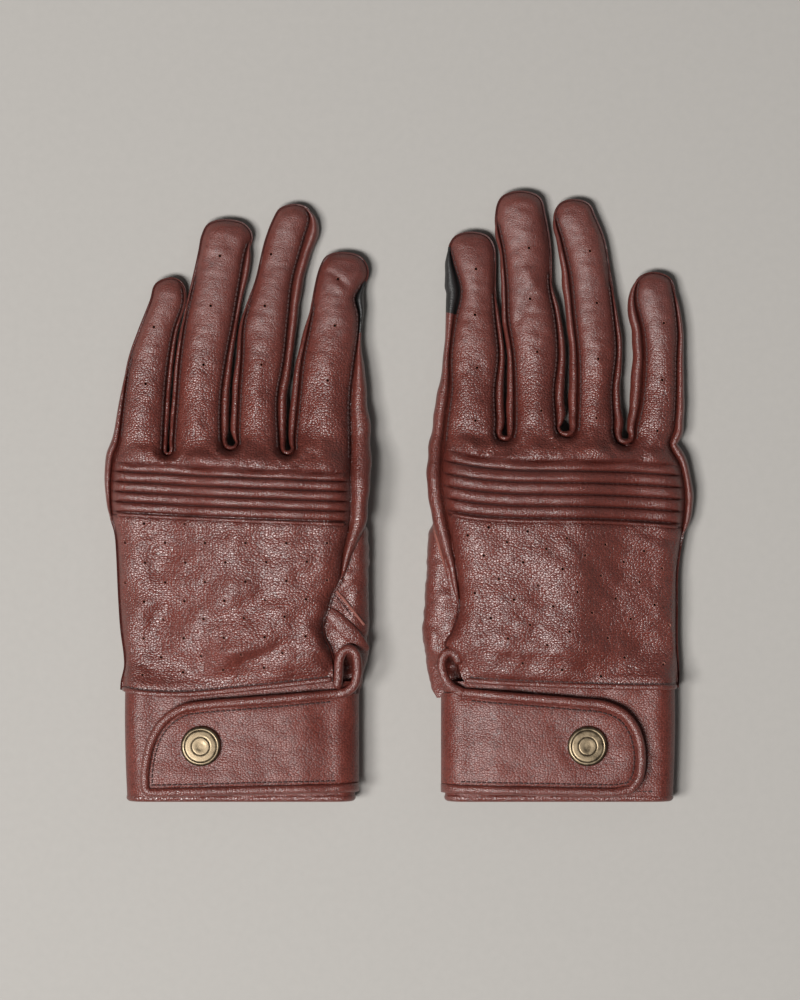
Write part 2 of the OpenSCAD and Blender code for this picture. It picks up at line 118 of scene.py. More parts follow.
# Each finger: rows of (y, outer seam, inner seam), then its tip, its air holes, and how far the
# gusset roll stands out of each seam, by y. The hand: the bottoms of the gaps between fingers,
# its edges and hem, the edges of the knuckle pad, rows of air holes as (u, y, count, slope) and
# the step along a row, the outside of the thumb base by y, the vent's piping, the folds of the
# thumb base as (line, radius) and its raw edge, the strap's two edges, and the folds of the back
# as (line, height, width)
LEFT = {
    "side": "left",
    "sign": -1,
    "pinky": {
        "rows": [(20.4, 112.6, 95.0), (38.4, 110.4, 94.2), (54.4, 108.0, 92.7),
                 (66.4, 104.0, 90.6), (78.4, 99.4, 86.8)],
        "tip": (91.2, 86.8),
        "holes": [(98.4, 67.6), (101.6, 44.8)],
        "outer_roll": [(-80, 0.05), (-16, 0.05), (-8, 1.0), (-2, 1.8), (5, 2.2), (13, 3.0),
                       (21, 3.0), (30, 1.8), (41, 1.4), (54, 0.6), (87, 0.05)],
        "inner_roll": [(16, 3.0), (78, 2.2), (84, 1.0), (87, 0.05)],
    },
    "ring": {
        "rows": [(22.4, 90.4, 71.4), (38.4, 89.2, 71.6), (54.4, 88.0, 69.6), (70.4, 85.8, 66.6),
                 (86.4, 82.4, 64.0), (98.4, 80.0, 61.8), (104.4, 78.8, 60.0)],
        "tip": (70.4, 110.2),
        "holes": [(72.0, 96.0), (75.6, 76.0), (78.4, 52.4)],
        "outer_roll": [(16, 3.0), (60, 1.5), (75, 1.0), (88, 0.7), (97, 0.05), (110, 0.05)],
        "inner_roll": [(18, 3.6), (60, 3.0), (96, 2.8), (101, 1.4), (104, 0.05)],
    },
    "middle": {
        "rows": [(22.4, 64.3, 48.4), (38.4, 64.1, 49.0), (54.4, 63.1, 46.4), (70.4, 62.2, 44.8),
                 (86.4, 57.2, 43.0), (102.4, 53.4, 38.7), (111.2, 50.0, 36.4)],
        "tip": (41.6, 116.3),
        "holes": [(51.6, 96.8), (54.0, 76.0), (55.2, 52.4)],
        "outer_roll": [(18, 3.6), (60, 2.0), (75, 0.9), (88, 0.05), (116, 0.05)],
        "inner_roll": [(16, 3.4), (60, 3.2), (80, 4.2), (86, 5.0), (105, 4.6), (111, 3.8),
                       (114.5, 1.4), (116, 0.05)],
    },
    "index": {
        "rows": [(20.4, 41.7, 19.9), (38.4, 40.2, 20.0), (54.4, 38.7, 18.2), (66.4, 36.4, 16.6),
                 (73.0, 35.2, 16.6), (79.4, 34.2, 17.9), (84.0, 33.4, 15.6),
                 (88.4, 32.4, 13.5), (92.0, 31.2, 13.8)],
        "tip": (23.6, 97.0),
        "holes": [(24.8, 86.8), (26.0, 68.0), (28.8, 46.0)],
        "outer_roll": [(16, 3.4), (50, 2.4), (72, 1.2), (84, 0.05), (96, 0.05)],
        "inner_roll": [(-74, 0.05), (-36, 0.3), (-22, 4.0), (-10, 6.5), (0, 7.2), (10, 7.7),
                       (23, 8.0), (34, 7.0), (46, 5.7), (54, 3.7), (62, 1.2), (68, 0.8),
                       (72, 1.8), (76, 3.2), (79, 4.2), (83, 3.0), (86, 0.7), (88, 0.05)],
    },
    "crotches": [(92.7, 16.0), (67.6, 18.0), (44.8, 16.0)],
    "outer_edge": [(114.4, 15.2), (115.6, 4), (115.2, -8), (113.8, -13.6), (113.2, -17.6),
                   (112, -41.6), (111.2, -53.2), (109.8, -64), (109.7, -68.4), (111, -74.4)],
    "inner_edge": [(20, 10), (20, -5), (20.6, -12), (22.8, -22.4), (24.4, -34), (27.2, -39),
                   (29.2, -46), (31, -50), (30.4, -56.8), (28.4, -60.8), (26.8, -67.6)],
    "hem": [(111.2, -77.6), (101.2, -79.2), (85.6, -79.6), (70.4, -78.4), (55.2, -76.8),
            (40, -75.2), (26.8, -73.6)],
    "pad_top": [(12, 9.4), (20, 9.6), (45, 10.6), (75, 11.8), (100, 13.2), (118, 14.2)],
    "pad_end": [(12, -10.2), (20, -10), (45, -9.2), (75, -8.0), (100, -6.8), (118, -5.8)],
    "hole_rows": [(37.2, -11.0, 5, 0.0), (28.8, -18.6, 6, 0.0), (36.8, -26.0, 5, -0.15),
                  (28.8, -33.4, 6, -0.25), (37.2, -40.9, 5, -0.3), (45.6, -47.8, 5, -0.5),
                  (37.4, -55.6, 5, -0.3), (46.6, -62.2, 4, -0.7), (54.0, -68.2, 4, -1.0)],
    "hole_pitch": 16.2,
    "thumb_side": [(4, 13.6), (-4, 12.6), (-20, 12.4), (-50, 12.6), (-63, 12.8), (-71, 14.4),
                   (-82, 16.6)],
    "keyhole": [(24.9, -75.4), (24.4, -70.0), (24.2, -65.4), (22.8, -62.1), (20.3, -60.9),
                (17.9, -62.4), (17.0, -66.2), (17.1, -71.5), (18.4, -75.4), (21.0, -77.8),
                (24.5, -78.8)],
    "base_folds": [([(29.5, -45.0), (26.4, -48.0), (21.4, -53.2), (16.8, -57.6), (13.4, -61.0)],
                    3.4)],
    "base_seam": [(25.4, -37.6), (22.0, -41.6), (18.0, -46.6), (14.4, -51.2)],
    "strap_front": [(24.5, -78.8), (32, -79.4), (47.6, -80.8), (62.8, -82.0), (78, -83.2),
                    (85.6, -84.4), (91.2, -87.2), (95.6, -91.6), (98.8, -97.2),
                    (100.8, -104.4), (101.6, -111.5), (101.4, -116.6)],
    "strap_rear": [(100.2, -117.9), (97, -118.0), (78, -117.6), (55.2, -117.0), (32, -116.6),
                   (12, -116.2)],
    "folds": [
        ([(31.5, 91), (26, 88.5), (20, 83)], -0.7, 0.8),
        ([(33, 87), (27, 85), (20.5, 80)], 0.5, 1.6),
        ([(27.5, -66), (36, -62.5), (50, -62), (66, -66)], -1.3, 2.2),
        ([(27.5, -70), (38, -68), (55, -68.5)], 1.0, 2.4),
        ([(32, -53), (44, -54), (60, -60), (78, -69)], 0.8, 3.5),
        ([(31, -57.5), (40, -57.5), (54, -62)], -0.8, 1.8),
        ([(111, -66), (104, -67), (94, -71)], -0.9, 1.6),
        ([(60, 12.8), (80, 14.5), (98, 14.5)], 0.7, 2.6),
        ([(23, 14), (32, 18), (41, 22)], 0.8, 2.2),
        ([(24, 20), (31, 25), (36, 33)], -0.7, 1.8),
        ([(108, 20), (101, 18), (96, 15)], 0.6, 1.8),
        ([(33, -22), (50, -30), (70, -36), (92, -38)], 0.6, 4.5),
        ([(36, -34), (58, -44), (82, -50)], -0.7, 3.2),
        ([(98, -18), (94, -40), (97, -62)], -0.6, 3.6),
        ([(30, -40), (36, -50), (34, -58)], 0.9, 3.4),
        ([(82, 24), (84, 42), (80, 60)], 0.7, 3.6),
        ([(53, 24), (57, 40), (56, 58)], 0.8, 3.6),
        ([(30, 34), (28, 44), (30, 60)], 0.8, 3.8),
        ([(36, 40), (38, 30), (37, 22)], -0.6, 1.8),
    ],
}
RIGHT = {
    "side": "right",
    "sign": 1,
    "pinky": {
        "rows": [(26.4, 109.6, 94.6), (37.6, 110.5, 97.0), (55.6, 110.9, 98.3),
                 (65.6, 111.3, 97.6), (80.4, 109.6, 94.6)],
        "tip": (101.4, 89.0),
        "holes": [(105.6, 69.2), (104.8, 46.4), (102.8, 26.0)],
        "outer_roll": [(-80, 0.05), (-20, 0.05), (-12, 2.4), (0, 3.2), (8, 2.6), (20, 4.6),
                       (30, 3.2), (42, 2.7), (56, 2.3), (66, 1.6), (75, 1.4), (85, 0.6),
                       (89, 0.05)],
        "inner_roll": [(20, 4.6), (40, 6.0), (57, 6.5), (68, 5.0), (82, 2.5), (87, 0.8),
                       (89, 0.05)],
    },
    "ring": {
        "rows": [(30.4, 85.4, 71.2), (42.4, 85.0, 71.7), (57.6, 86.7, 71.4), (72.8, 85.6, 69.8),
                 (87.6, 83.8, 68.4), (102.4, 81.4, 65.1), (112.4, 77.4, 62.6)],
        "tip": (69.6, 118.3),
        "holes": [(76.0, 98.0), (78.8, 77.2), (79.2, 54.8), (78.4, 31.2)],
        "outer_roll": [(20, 4.0), (50, 2.2), (80, 1.0), (95, 0.05), (118, 0.05)],
        "inner_roll": [(23, 4.4), (52, 5.4), (63, 5.4), (74, 4.6), (86, 3.8), (103, 2.7),
                       (111, 2.0), (115, 0.05)],
    },
    "middle": {
        "rows": [(28.4, 62.3, 46.0), (41.6, 61.7, 46.1), (56.4, 63.2, 45.4), (71.2, 62.2, 43.2),
                 (84.0, 59.9, 42.8), (98.4, 59.8, 41.4), (112.4, 57.6, 39.0)],
        "tip": (48.4, 121.6),
        "holes": [(51.6, 99.2), (52.0, 78.8), (54.8, 57.6), (56.4, 34.0)],
        "outer_roll": [(23, 4.4), (50, 3.0), (80, 1.4), (98, 0.05), (121, 0.05)],
        "inner_roll": [(21.6, 4.0), (50, 3.0), (67, 3.2), (76, 3.5), (82, 2.5), (88, 4.0),
                       (100, 2.6), (109, 1.6), (112.5, 0.05)],
    },
    "index": {
        "rows": [(28.4, 38.3, 18.6), (42.4, 38.0, 20.4), (56.0, 39.5, 20.3), (70.4, 38.2, 22.1),
                 (82.4, 37.4, 24.3), (93.7, 37.6, 21.4), (99.8, 37.0, 20.4)],
        "tip": (28.4, 105.2),
        "holes": [(30.4, 90.8), (30.0, 72.4), (30.8, 51.2), (30.0, 30.0)],
        "outer_roll": [(21.6, 4.0), (50, 2.6), (76, 1.2), (90, 0.05), (105, 0.05)],
        "inner_roll": [(-74, 0.05), (-46, 0.05), (-39, 2.0), (-25, 4.2), (-16, 5.5), (-6, 6.0),
                       (0, 5.6), (17, 5.9), (28, 5.0), (42, 5.0), (56, 2.2), (64, 2.4),
                       (72, 4.0), (82, 6.0), (88, 5.0), (94, 3.6), (98, 2.2), (101, 0.05)],
    },
    "crotches": [(90.0, 20.0), (66.6, 23.2), (41.8, 21.6)],
    "outer_edge": [(107.8, 20.5), (112, 12), (114, 0), (113.4, -10), (112.2, -18),
                   (110.6, -30), (110.4, -44), (110.4, -59), (111, -71)],
    "inner_edge": [(17.6, 17), (17.2, 5), (18.6, -5), (22.4, -25.6), (23.6, -46),
                   (20.8, -54.8), (18.4, -59.2), (22.4, -63.2), (24, -70.4)],
    "hem": [(110.8, -76.8), (92.8, -76.8), (63.2, -76), (40, -75), (25.6, -74)],
    "pad_top": [(11, 20.4), (17.2, 19.2), (30, 16.6), (45, 15.0), (60, 14.7), (75, 14.6),
                (95, 14.0), (114, 12.4), (118, 11.8)],
    "pad_end": [(11, -5), (17.2, -5.6), (30, -7.6), (45, -8.6), (60, -8.8), (75, -9.0),
                (95, -9.9), (114, -11.4), (118, -11.8)],
    "hole_rows": [(35.2, -12.4, 1, 0.0), (50.6, -14.0, 5, -2.65), (26.8, -15.6, 6, -2.65),
                  (33.2, -23.6, 5, -2.65), (39.2, -32.8, 5, -2.65), (29.6, -38.4, 6, -2.65),
                  (36.0, -48.4, 5, -2.65), (42.8, -56.4, 5, -2.65), (48.8, -66.4, 3, -2.65)],
    "hole_pitch": 15.6,
    "thumb_side": [(6, 12.4), (-6, 11.6), (-20, 11.0), (-44, 9.8), (-54, 8.6), (-64, 10.2),
                   (-74, 11.6), (-82, 14.4)],
    "keyhole": [(23.4, -65.6), (21.6, -62.6), (18.6, -62.4), (16.5, -65.8), (17.2, -70.8),
                (20.0, -75.6), (24.8, -78.3)],
    "base_folds": [([(17.0, -8.0), (18.2, -16.0), (20.4, -26.0), (21.8, -36.0), (22.0, -42.0)],
                    3.0)],
    "base_seam": [(13.4, -11.0), (14.2, -15.0), (15.8, -21.0), (18.6, -30.0), (20.6, -38.6)],
    "strap_front": [(24.8, -78.3), (37.2, -79.4), (56, -80.9), (70.4, -82.2), (81.6, -83.4),
                    (89.2, -87.0), (93.6, -92.8), (95.6, -99.2), (96.0, -106.8),
                    (94.8, -112.8), (91.6, -117.0)],
    "strap_rear": [(85.2, -118.0), (70.4, -117.7), (48.4, -117.3), (26.4, -116.9),
                   (12, -116.6)],
    "folds": [
        ([(58, 84), (52, 80), (49, 74), (46, 66)], -0.9, 1.8),
        ([(46, 92), (52, 87), (56, 78)], 0.8, 2.4),
        ([(112, -19), (103, -15.5), (92, -13.5)], -1.0, 1.5),
        ([(111.5, -25), (104, -21), (96, -19)], 0.7, 1.8),
        ([(24, -64), (34, -62), (48, -66)], -1.0, 2.2),
        ([(25, -58), (36, -56), (52, -57)], 0.6, 3.0),
        ([(20, 24), (30, 20.5), (40, 19)], 0.7, 2.2),
        ([(60, 18), (75, 19), (88, 17.5)], 0.6, 2.4),
        ([(96, 19), (103, 20), (107, 22)], -0.8, 1.4),
        ([(30, 56), (34, 46), (35, 36)], -0.5, 2.4),
        ([(24, 28), (26, 38), (25, 50)], 0.8, 3.0),
        ([(52, 28), (55, 44), (54, 60)], 0.8, 3.8),
        ([(77, 28), (80, 46), (79, 64)], 0.8, 3.6),
        ([(28, -70), (44, -70), (62, -71.5)], 1.0, 3.0),
        ([(26, -28), (30, -42), (26, -54)], 0.8, 3.4),
        ([(40, -20), (62, -30), (88, -34)], 0.5, 4.5),
        ([(60, -44), (82, -52), (100, -60)], -0.6, 4.0),
    ],
}


# ---- plan curves and fields ------------------------------------------------------------------

def spline(points, step):
    """Points about a step apart on a smooth curve through the given ones."""
    p = np.array(points, float)
    p = np.vstack([2 * p[0] - p[1], p, 2 * p[-1] - p[-2]])
    out = []
    for a, b, c, d in zip(p, p[1:], p[2:], p[3:]):
        k1, k2 = [max(np.linalg.norm(q - r), 1e-6) ** 0.5 for q, r in ((a, b), (b, c))]
        k3 = max(np.linalg.norm(d - c), 1e-6) ** 0.5
        m1 = k2 * ((b - a) / k1 - (c - a) / (k1 + k2)) + (c - b)
        m2 = k2 * ((d - c) / k3 - (d - b) / (k2 + k3)) + (c - b)
        count = max(1, int(round(np.linalg.norm(c - b) / step)))
        for t in np.arange(count) / count:
            out.append((2 * t**3 - 3 * t**2 + 1) * b + (t**3 - 2 * t**2 + t) * m1
                       + (3 * t**2 - 2 * t**3) * c + (t**3 - t**2) * m2)
    return np.array(out + [p[-2]])


def table(rows, at):
    """Value at y of a table of (y, value) rows."""
    rows = sorted(rows)
    return np.interp(at, [r[0] for r in rows], [r[1] for r in rows])


def arc_length(curve):
    """Distance along a curve to each of its points."""
    return np.concatenate([[0], np.cumsum(np.linalg.norm(np.diff(curve, axis=0), axis=1))])


def resample(curve, shares):
    """Points of a plane curve at these shares of its length."""
    reach = arc_length(curve)
    return np.column_stack([np.interp(shares * reach[-1], reach, curve[:, k]) for k in (0, 1)])


def nearest(points, places):
    """Distance of each point from the nearest of these places."""
    return np.sqrt(((points[:, None] - places) ** 2).sum(2)).min(1)


def distance_to(line, points):
    """Distance of each point from a line of points."""
    a, ab = line[:-1], np.diff(line, axis=0)
    length2 = (ab**2).sum(1) + 1e-12
    out = np.empty(len(points))
    for i in range(0, len(points), 3000):
        p = points[i:i + 3000, None]
        t = np.clip(((p - a) * ab).sum(2) / length2, 0, 1)[..., None]
        out[i:i + 3000] = np.sqrt(((a + t * ab - p) ** 2).sum(2).min(1))
    return out


def inside(outline, points):
    """True for each point inside a closed outline."""
    a, b = outline, np.roll(outline, -1, 0)
    out = np.zeros(len(points), bool)
    for i in range(0, len(points), 3000):
        x, y = points[i:i + 3000, 0, None], points[i:i + 3000, 1, None]
        crosses = (a[:, 1] > y) != (b[:, 1] > y)
        at = a[:, 0] + (y - a[:, 1]) * (b[:, 0] - a[:, 0]) / (b[:, 1] - a[:, 1] + 1e-12)
        out[i:i + 3000] = (crosses & (x < at)).sum(1) % 2 == 1
    return out


def ripple(points, wavelength, seed, stretch=(1.0, 1.0)):
    """Smooth noise of about -1 to 1, the same on every run."""
    rng = np.random.default_rng(seed)
    total = np.zeros(len(points))
    scaled = points[:, :2] / np.array(stretch)
    for angle, phase, size in zip(rng.uniform(0, 2 * math.pi, 14),
                                  rng.uniform(0, 2 * math.pi, 14), rng.uniform(0.7, 1.4, 14)):
        wave = 2 * math.pi / (wavelength * size)
        total += np.sin(wave * (scaled @ (math.cos(angle), math.sin(angle))) + phase)
    return total / 4.5


def smooth01(t):
    """A smooth step from 0 to 1 as t goes from 0 to 1."""
    t = np.clip(t, 0, 1)
    return t * t * (3 - 2 * t)


def shoulder(edge, rows, tip):
    """A point between the last seam row and the fingertip that makes the tip round."""
    last = rows[-1][0]
    fullness = 0.66 + 0.011 * (tip[1] - last)
    return tip[0] + fullness * (edge - tip[0]), last + fullness * (tip[1] - last)


def crotch_loop(design, k):
    """The round bottom of the gap between two fingers."""
    u, y = design["crotches"][k]
    gap = design[FINGERS[k]]["rows"][0][2] - design[FINGERS[k + 1]]["rows"][0][1]
    return [(u + 0.5 * gap, y + 0.5 * gap), (u + 0.354 * gap, y + 0.146 * gap), (u, y),
            (u - 0.354 * gap, y + 0.146 * gap), (u - 0.5 * gap, y + 0.5 * gap)]


class Crown:
    """How the stretched leather rises inside an outline, like a membrane under light pressure."""

    def __init__(self, outline):
        self.line = np.vstack([outline, outline[:1]])
        self.low = outline.min(0) - 4
        nx, ny = np.ceil(outline.max(0) + 4 - self.low).astype(int)
        gx, gy = np.meshgrid(np.arange(nx), np.arange(ny), indexing="ij")
        points = np.column_stack([gx.ravel(), gy.ravel()]) + self.low
        mask = inside(outline, points).reshape(nx, ny)
        depth = distance_to(self.line, points).reshape(nx, ny) * mask
        rise = np.zeros((nx, ny))
        for _ in range(700):
            around = (np.roll(rise, 1, 0) + np.roll(rise, -1, 0)
                      + np.roll(rise, 1, 1) + np.roll(rise, -1, 1))
            rise = np.where(mask, (around + 2) / (4 + CROWN_WIDTH**-2), 0)
        good = depth > 1.2
        ratio = np.where(good, rise / np.maximum(depth, 0.1), 0)
        weight = good.astype(float)
        for _ in range(5):
            near = sum(np.roll(ratio * weight, s, a) for s in (1, -1) for a in (0, 1))
            count = sum(np.roll(weight, s, a) for s in (1, -1) for a in (0, 1))
            fill = (weight == 0) & (count > 0)
            ratio[fill] = near[fill] / count[fill]
            weight[fill] = 1
        self.ratio = ratio

    def at(self, points):
        """Rise and distance from the outline at each point."""
        depth = distance_to(self.line, points)
        g = np.clip(points - self.low, 0, np.array(self.ratio.shape) - 1.001)
        i, f = g.astype(int), g % 1
        r = self.ratio
        ratio = ((r[i[:, 0], i[:, 1]] * (1 - f[:, 0]) + r[i[:, 0] + 1, i[:, 1]] * f[:, 0])
                 * (1 - f[:, 1])
                 + (r[i[:, 0], i[:, 1] + 1] * (1 - f[:, 0])
                    + r[i[:, 0] + 1, i[:, 1] + 1] * f[:, 0]) * f[:, 1])
        rise = np.sqrt(ratio * depth + CROWN_SOFT**2) - CROWN_SOFT
        return rise - (1 - CROWN_SPARE) * np.maximum(rise - CROWN_FULL, 0), depth


class Glove:
    """Plan curves and surfaces of one glove."""

    def __init__(self, design):
        self.design = design
        self.side = design["side"]
        self.sign = design["sign"]
        self.seed = 11 if self.sign < 0 else 47
        self.trace_border()
        self.trace_rolls()
        self.outline = np.vstack([self.border, WRIST])
        self.crown = Crown(self.outline)
        self.crotches = np.array(design["crotches"])
        self.pad_top = spline(design["pad_top"], STEP) + (0, PAD_LAP)

    def trace_border(self):
        """The seam round the back of the hand, from the hem's outer end to its inner end, and
        where on it each finger has its tip and its two ends."""
        design = self.design
        points = [design["hem"][0]] + design["outer_edge"][::-1]
        marks = []
        for k, name in enumerate(FINGERS):
            rows = design[name]["rows"]
            start = len(points)
            top = design[name]["tip"]
            points += [(outer, y) for y, outer, inner in rows] + [shoulder(rows[-1][1], rows, top)]
            tip = len(points)
            points += [top, shoulder(rows[-1][2], rows, top)]
            points += [(inner, y) for y, outer, inner in rows[::-1]]
            marks.append((start, tip, len(points) + 2))
            if k < 3:
                points += crotch_loop(design, k)
        points += design["inner_edge"] + [design["hem"][-1]]
        self.border = spline(points, STEP)
        near = [int(np.abs(self.border - points[i]).sum(1).argmin()) for i in range(len(points))]
        self.tips = {n: near[m[1]] for n, m in zip(FINGERS, marks)}
        ends = [near[marks[0][0]]] + [near[marks[k][2]] for k in range(3)] + [near[marks[3][2] - 2]]
        self.spans = {n: (ends[k], ends[k + 1]) for k, n in enumerate(FINGERS)}

    def trace_rolls(self):
        """The way out of the hand at each border point, and how far the roll stands out there."""
        along = np.gradient(self.border, axis=0)
        along /= np.linalg.norm(along, axis=1)[:, None]
        self.outward = np.column_stack([along[:, 1], -along[:, 0]])
        wanted = self.wanted_bulge()
        wanted += 0.75 * smooth01(wanted / 1.6)
        room = np.minimum(wanted, 0.88 * self.free_radius())
        room = np.min([np.roll(room, k) for k in range(-2, 3)], axis=0)
        self.bulge = np.convolve(np.pad(room, 3, mode="edge"), np.ones(7) / 7, "valid")

    def wanted_bulge(self):
        """How far the rolls beside the seams should stand out."""
        y = self.border[:, 1]
        out = np.full(len(y), 0.5)
        for name in FINGERS:
            first, last = self.spans[name]
            first = 0 if name == "pinky" else first
            last = len(y) - 1 if name == "index" else last
            tip = self.tips[name]
            out[first:tip] = table(self.design[name]["outer_roll"], y[first:tip])
            out[tip:last + 1] = table(self.design[name]["inner_roll"], y[tip:last + 1])
        return out

    def free_radius(self):
        """Radius of the largest circle beside each border point that touches no other seam."""
        to = self.border[None] - self.border[:, None]
        ahead = (to * self.outward[:, None]).sum(2)
        radius = np.where(ahead > 0.02, (to**2).sum(2) / (2 * np.maximum(ahead, 0.02)), 99)
        return radius.min(1)

    def lift(self, p):
        """How far the thumb under the palm raises the leather."""
        across = (117 - p[:, 0]) / 104
        by_y = table([(-78, 0), (-62, 1), (7, 1), (24, 0.42), (60, 0.16), (100, 0)], p[:, 1])
        t = np.clip((across - 0.14) / 0.4, 0, 1)
        return THUMB_LIFT * by_y * t**3 * (6 * t * t - 15 * t + 10)

    def seam_z(self, p):
        """Height of the seam round the back."""
        gap = nearest(p, self.crotches)
        return (SEAM_Z - TIP_DROP * smooth01((p[:, 1] - 30) / 75) + self.lift(p)
                + 3.4 * np.exp(-((gap / 8) ** 2)))

    def top(self, p):
        """Height of the outside of the back at each point."""
        rise, depth = self.crown.at(p)
        soft = smooth01(depth / 3)
        z = self.seam_z(p) + CROWN_GAIN * rise
        for line, height, width in self.design["folds"]:
            line = spline(line, 2.0)
            end = np.minimum(*(np.linalg.norm(p - e, axis=1) for e in (line[0], line[-1])))
            off = distance_to(line, p) / width
            z += height * np.exp(-(off**2)) * soft * smooth01(end / 6 + 0.15)
        z += soft * self.wrinkles(p)
        front = p[:, 1] > np.interp(p[:, 0], self.pad_top[:, 0], self.pad_top[:, 1]) - 0.01
        above_pad = distance_to(self.pad_top, p)
        middle = smooth01(depth / 12)
        z += front * soft * edge_roll(above_pad, 0.9, 1.2)
        z += front * middle * 2.3 * np.exp(-(((above_pad - 4.0) / 3.0) ** 2))
        z += middle * 0.9 * np.exp(-(((p[:, 1] - 31) / 8) ** 2))
        return z + soft * self.puckers(p)

    def puckers(self, p):
        """The folds that run like rings round the bottom of the gap between two fingers, and
        the puffs of the leather between those gaps."""
        out = np.zeros(len(p))
        for u, y in self.crotches + (0, 3.5):
            away = np.hypot(p[:, 0] - u, p[:, 1] - y)
            below = smooth01((y + 3 - p[:, 1]) / 6)
            out += below * (1.1 * np.exp(-(((away - 6.2) / 1.1) ** 2))
                            - 0.7 * np.exp(-(((away - 4.5) / 0.8) ** 2)))
        for u, y in (self.crotches[1:] + self.crotches[:-1]) / 2 - (0, 1.5):
            out += 1.7 * np.exp(-(((p[:, 0] - u) / 5) ** 2) - ((p[:, 1] - y) / 4.0) ** 2)
        return out

    def wrinkles(self, p):
        """Slack of the leather: long waves on the hand, and cross wrinkles on the fingers."""
        finger = smooth01((p[:, 1] - 24) / 16)
        waves = (0.75 * ripple(p, 23, self.seed) + 0.28 * ripple(p, 9, self.seed + 1)
                 + 0.05 * ripple(p, 3.4, self.seed + 4))
        cross = 0.13 * ripple(p, 4.2, self.seed + 2, (2.6, 1.0))
        gap = nearest(p, self.crotches)
        gathers = 0.35 * ripple(p, 5.0, self.seed + 3) * np.exp(-((gap / 10) ** 2))
        return waves * (1 - 0.6 * finger) + cross * finger + gathers

    def palm_z(self, p):
        """Height of the underside of the palm and fingers."""
        return self.lift(p) + PALM_EDGE_Z - PALM_SAG * self.crown.at(p)[0]


# ---- meshes ----------------------------------------------------------------------------------

def make_object(name, verts, faces, sign, material, seam=None):
    """A smooth mesh from millimetre points in the hand's design space. Seam is the distance of each
    point from the nearest seam, kept as the seam_shade attribute that the leather uses for painted
    shade."""
    verts = np.array(verts, float) * (sign, 1, 1)
    mesh = bpy.data.meshes.new(name)
    if sign < 0:
        faces = [tuple(f)[::-1] for f in faces]
    mesh.from_pydata((verts * MM).tolist(), [], [tuple(map(int, f)) for f in faces])
    mesh.validate()
    rest = mesh.attributes.new("leather_co", "FLOAT_VECTOR", "POINT")
    rest.data.foreach_set("vector", verts.astype(np.float32).ravel())
    if seam is not None:
        # Painted shade: 1 at a seam, fading over about 0.7 mm
        shade = mesh.attributes.new("seam_shade", "FLOAT", "POINT")
        shade.data.foreach_set("value", np.exp(-np.asarray(seam) / 0.7).astype(np.float32))
    mesh.shade_smooth()
    obj = bpy.data.objects.new(name, mesh)
    bpy.context.collection.objects.link(obj)
    for m in material if isinstance(material, (list, tuple)) else [material]:
        mesh.materials.append(m)
    return obj


def crisp_edges():
    """A modifier's node group that keeps cut edges crisp beside smooth faces."""
    group = bpy.data.node_groups.new("crisp_edges", "GeometryNodeTree")
    for way in ("INPUT", "OUTPUT"):
        group.interface.new_socket("Geometry", in_out=way, socket_type="NodeSocketGeometry")
    nodes, links = group.nodes, group.links
    come, go = nodes.new("NodeGroupInput"), nodes.new("NodeGroupOutput")
    angle = nodes.new("GeometryNodeInputMeshEdgeAngle")
    steep = nodes.new("FunctionNodeCompare")
    steep.operation = "GREATER_THAN"
    steep.inputs[1].default_value = 0.95
    shade = nodes.new("GeometryNodeSetShadeSmooth")
    shade.domain = "EDGE"
    shade.inputs["Shade Smooth"].default_value = False
    links.new(angle.outputs["Unsigned Angle"], steep.inputs[0])
    links.new(steep.outputs[0], shade.inputs["Selection"])
    links.new(come.outputs[0], shade.inputs[0])
    links.new(shade.outputs[0], go.inputs[0])
    return group


CRISP_EDGES = crisp_edges()


def thicken(obj, thickness):
    """Gives a sheet of leather its thickness under its face, with its cut edge."""
    solid = obj.modifiers.new("leather", "SOLIDIFY")
    solid.thickness = thickness * MM
    solid.offset = -1
    solid.use_quality_normals = True
    if len(obj.data.materials) > 1:
        solid.material_offset_rim = 1
    obj.modifiers.new("crisp", "NODES").node_group = CRISP_EDGES
    return obj


def fill_points(outline, spacing):
    """Points inside an outline: staggered rows, then one row close along the outline."""
    line = np.vstack([outline, outline[:1]])
    low, high = outline.min(0), outline.max(0)
    grid = []
    for k, y in enumerate(np.arange(low[1], high[1], spacing * 0.87)):
        u = np.arange(low[0] + (k % 2) * spacing / 2, high[0], spacing)
        grid.append(np.column_stack([u, np.full(len(u), y)]))
    grid = np.vstack(grid)
    along = np.roll(outline, -1, 0) - np.roll(outline, 1, 0)
    along /= np.linalg.norm(along, axis=1)[:, None] + 1e-9
    normal = np.column_stack([-along[:, 1], along[:, 0]])
    if not inside(outline, (outline + 0.1 * normal)[:1])[0]:
        normal = -normal
    ring = outline + EDGE_ROW * normal
    ring = ring[(distance_to(line, ring) > 0.3) & inside(outline, ring)]
    grid = grid[inside(outline, grid)]
    grid = grid[distance_to(line, grid) > EDGE_ROW + 0.4 * spacing]
    return np.vstack([grid, ring])


def circle(centre, radius, sides, closed=False):
    """Corners of a circle's polygon, with the first one again at the end if it is closed."""
    turn = np.arange(sides + closed) * 2 * math.pi / sides
    return centre + radius * np.column_stack([np.cos(turn), np.sin(turn)])


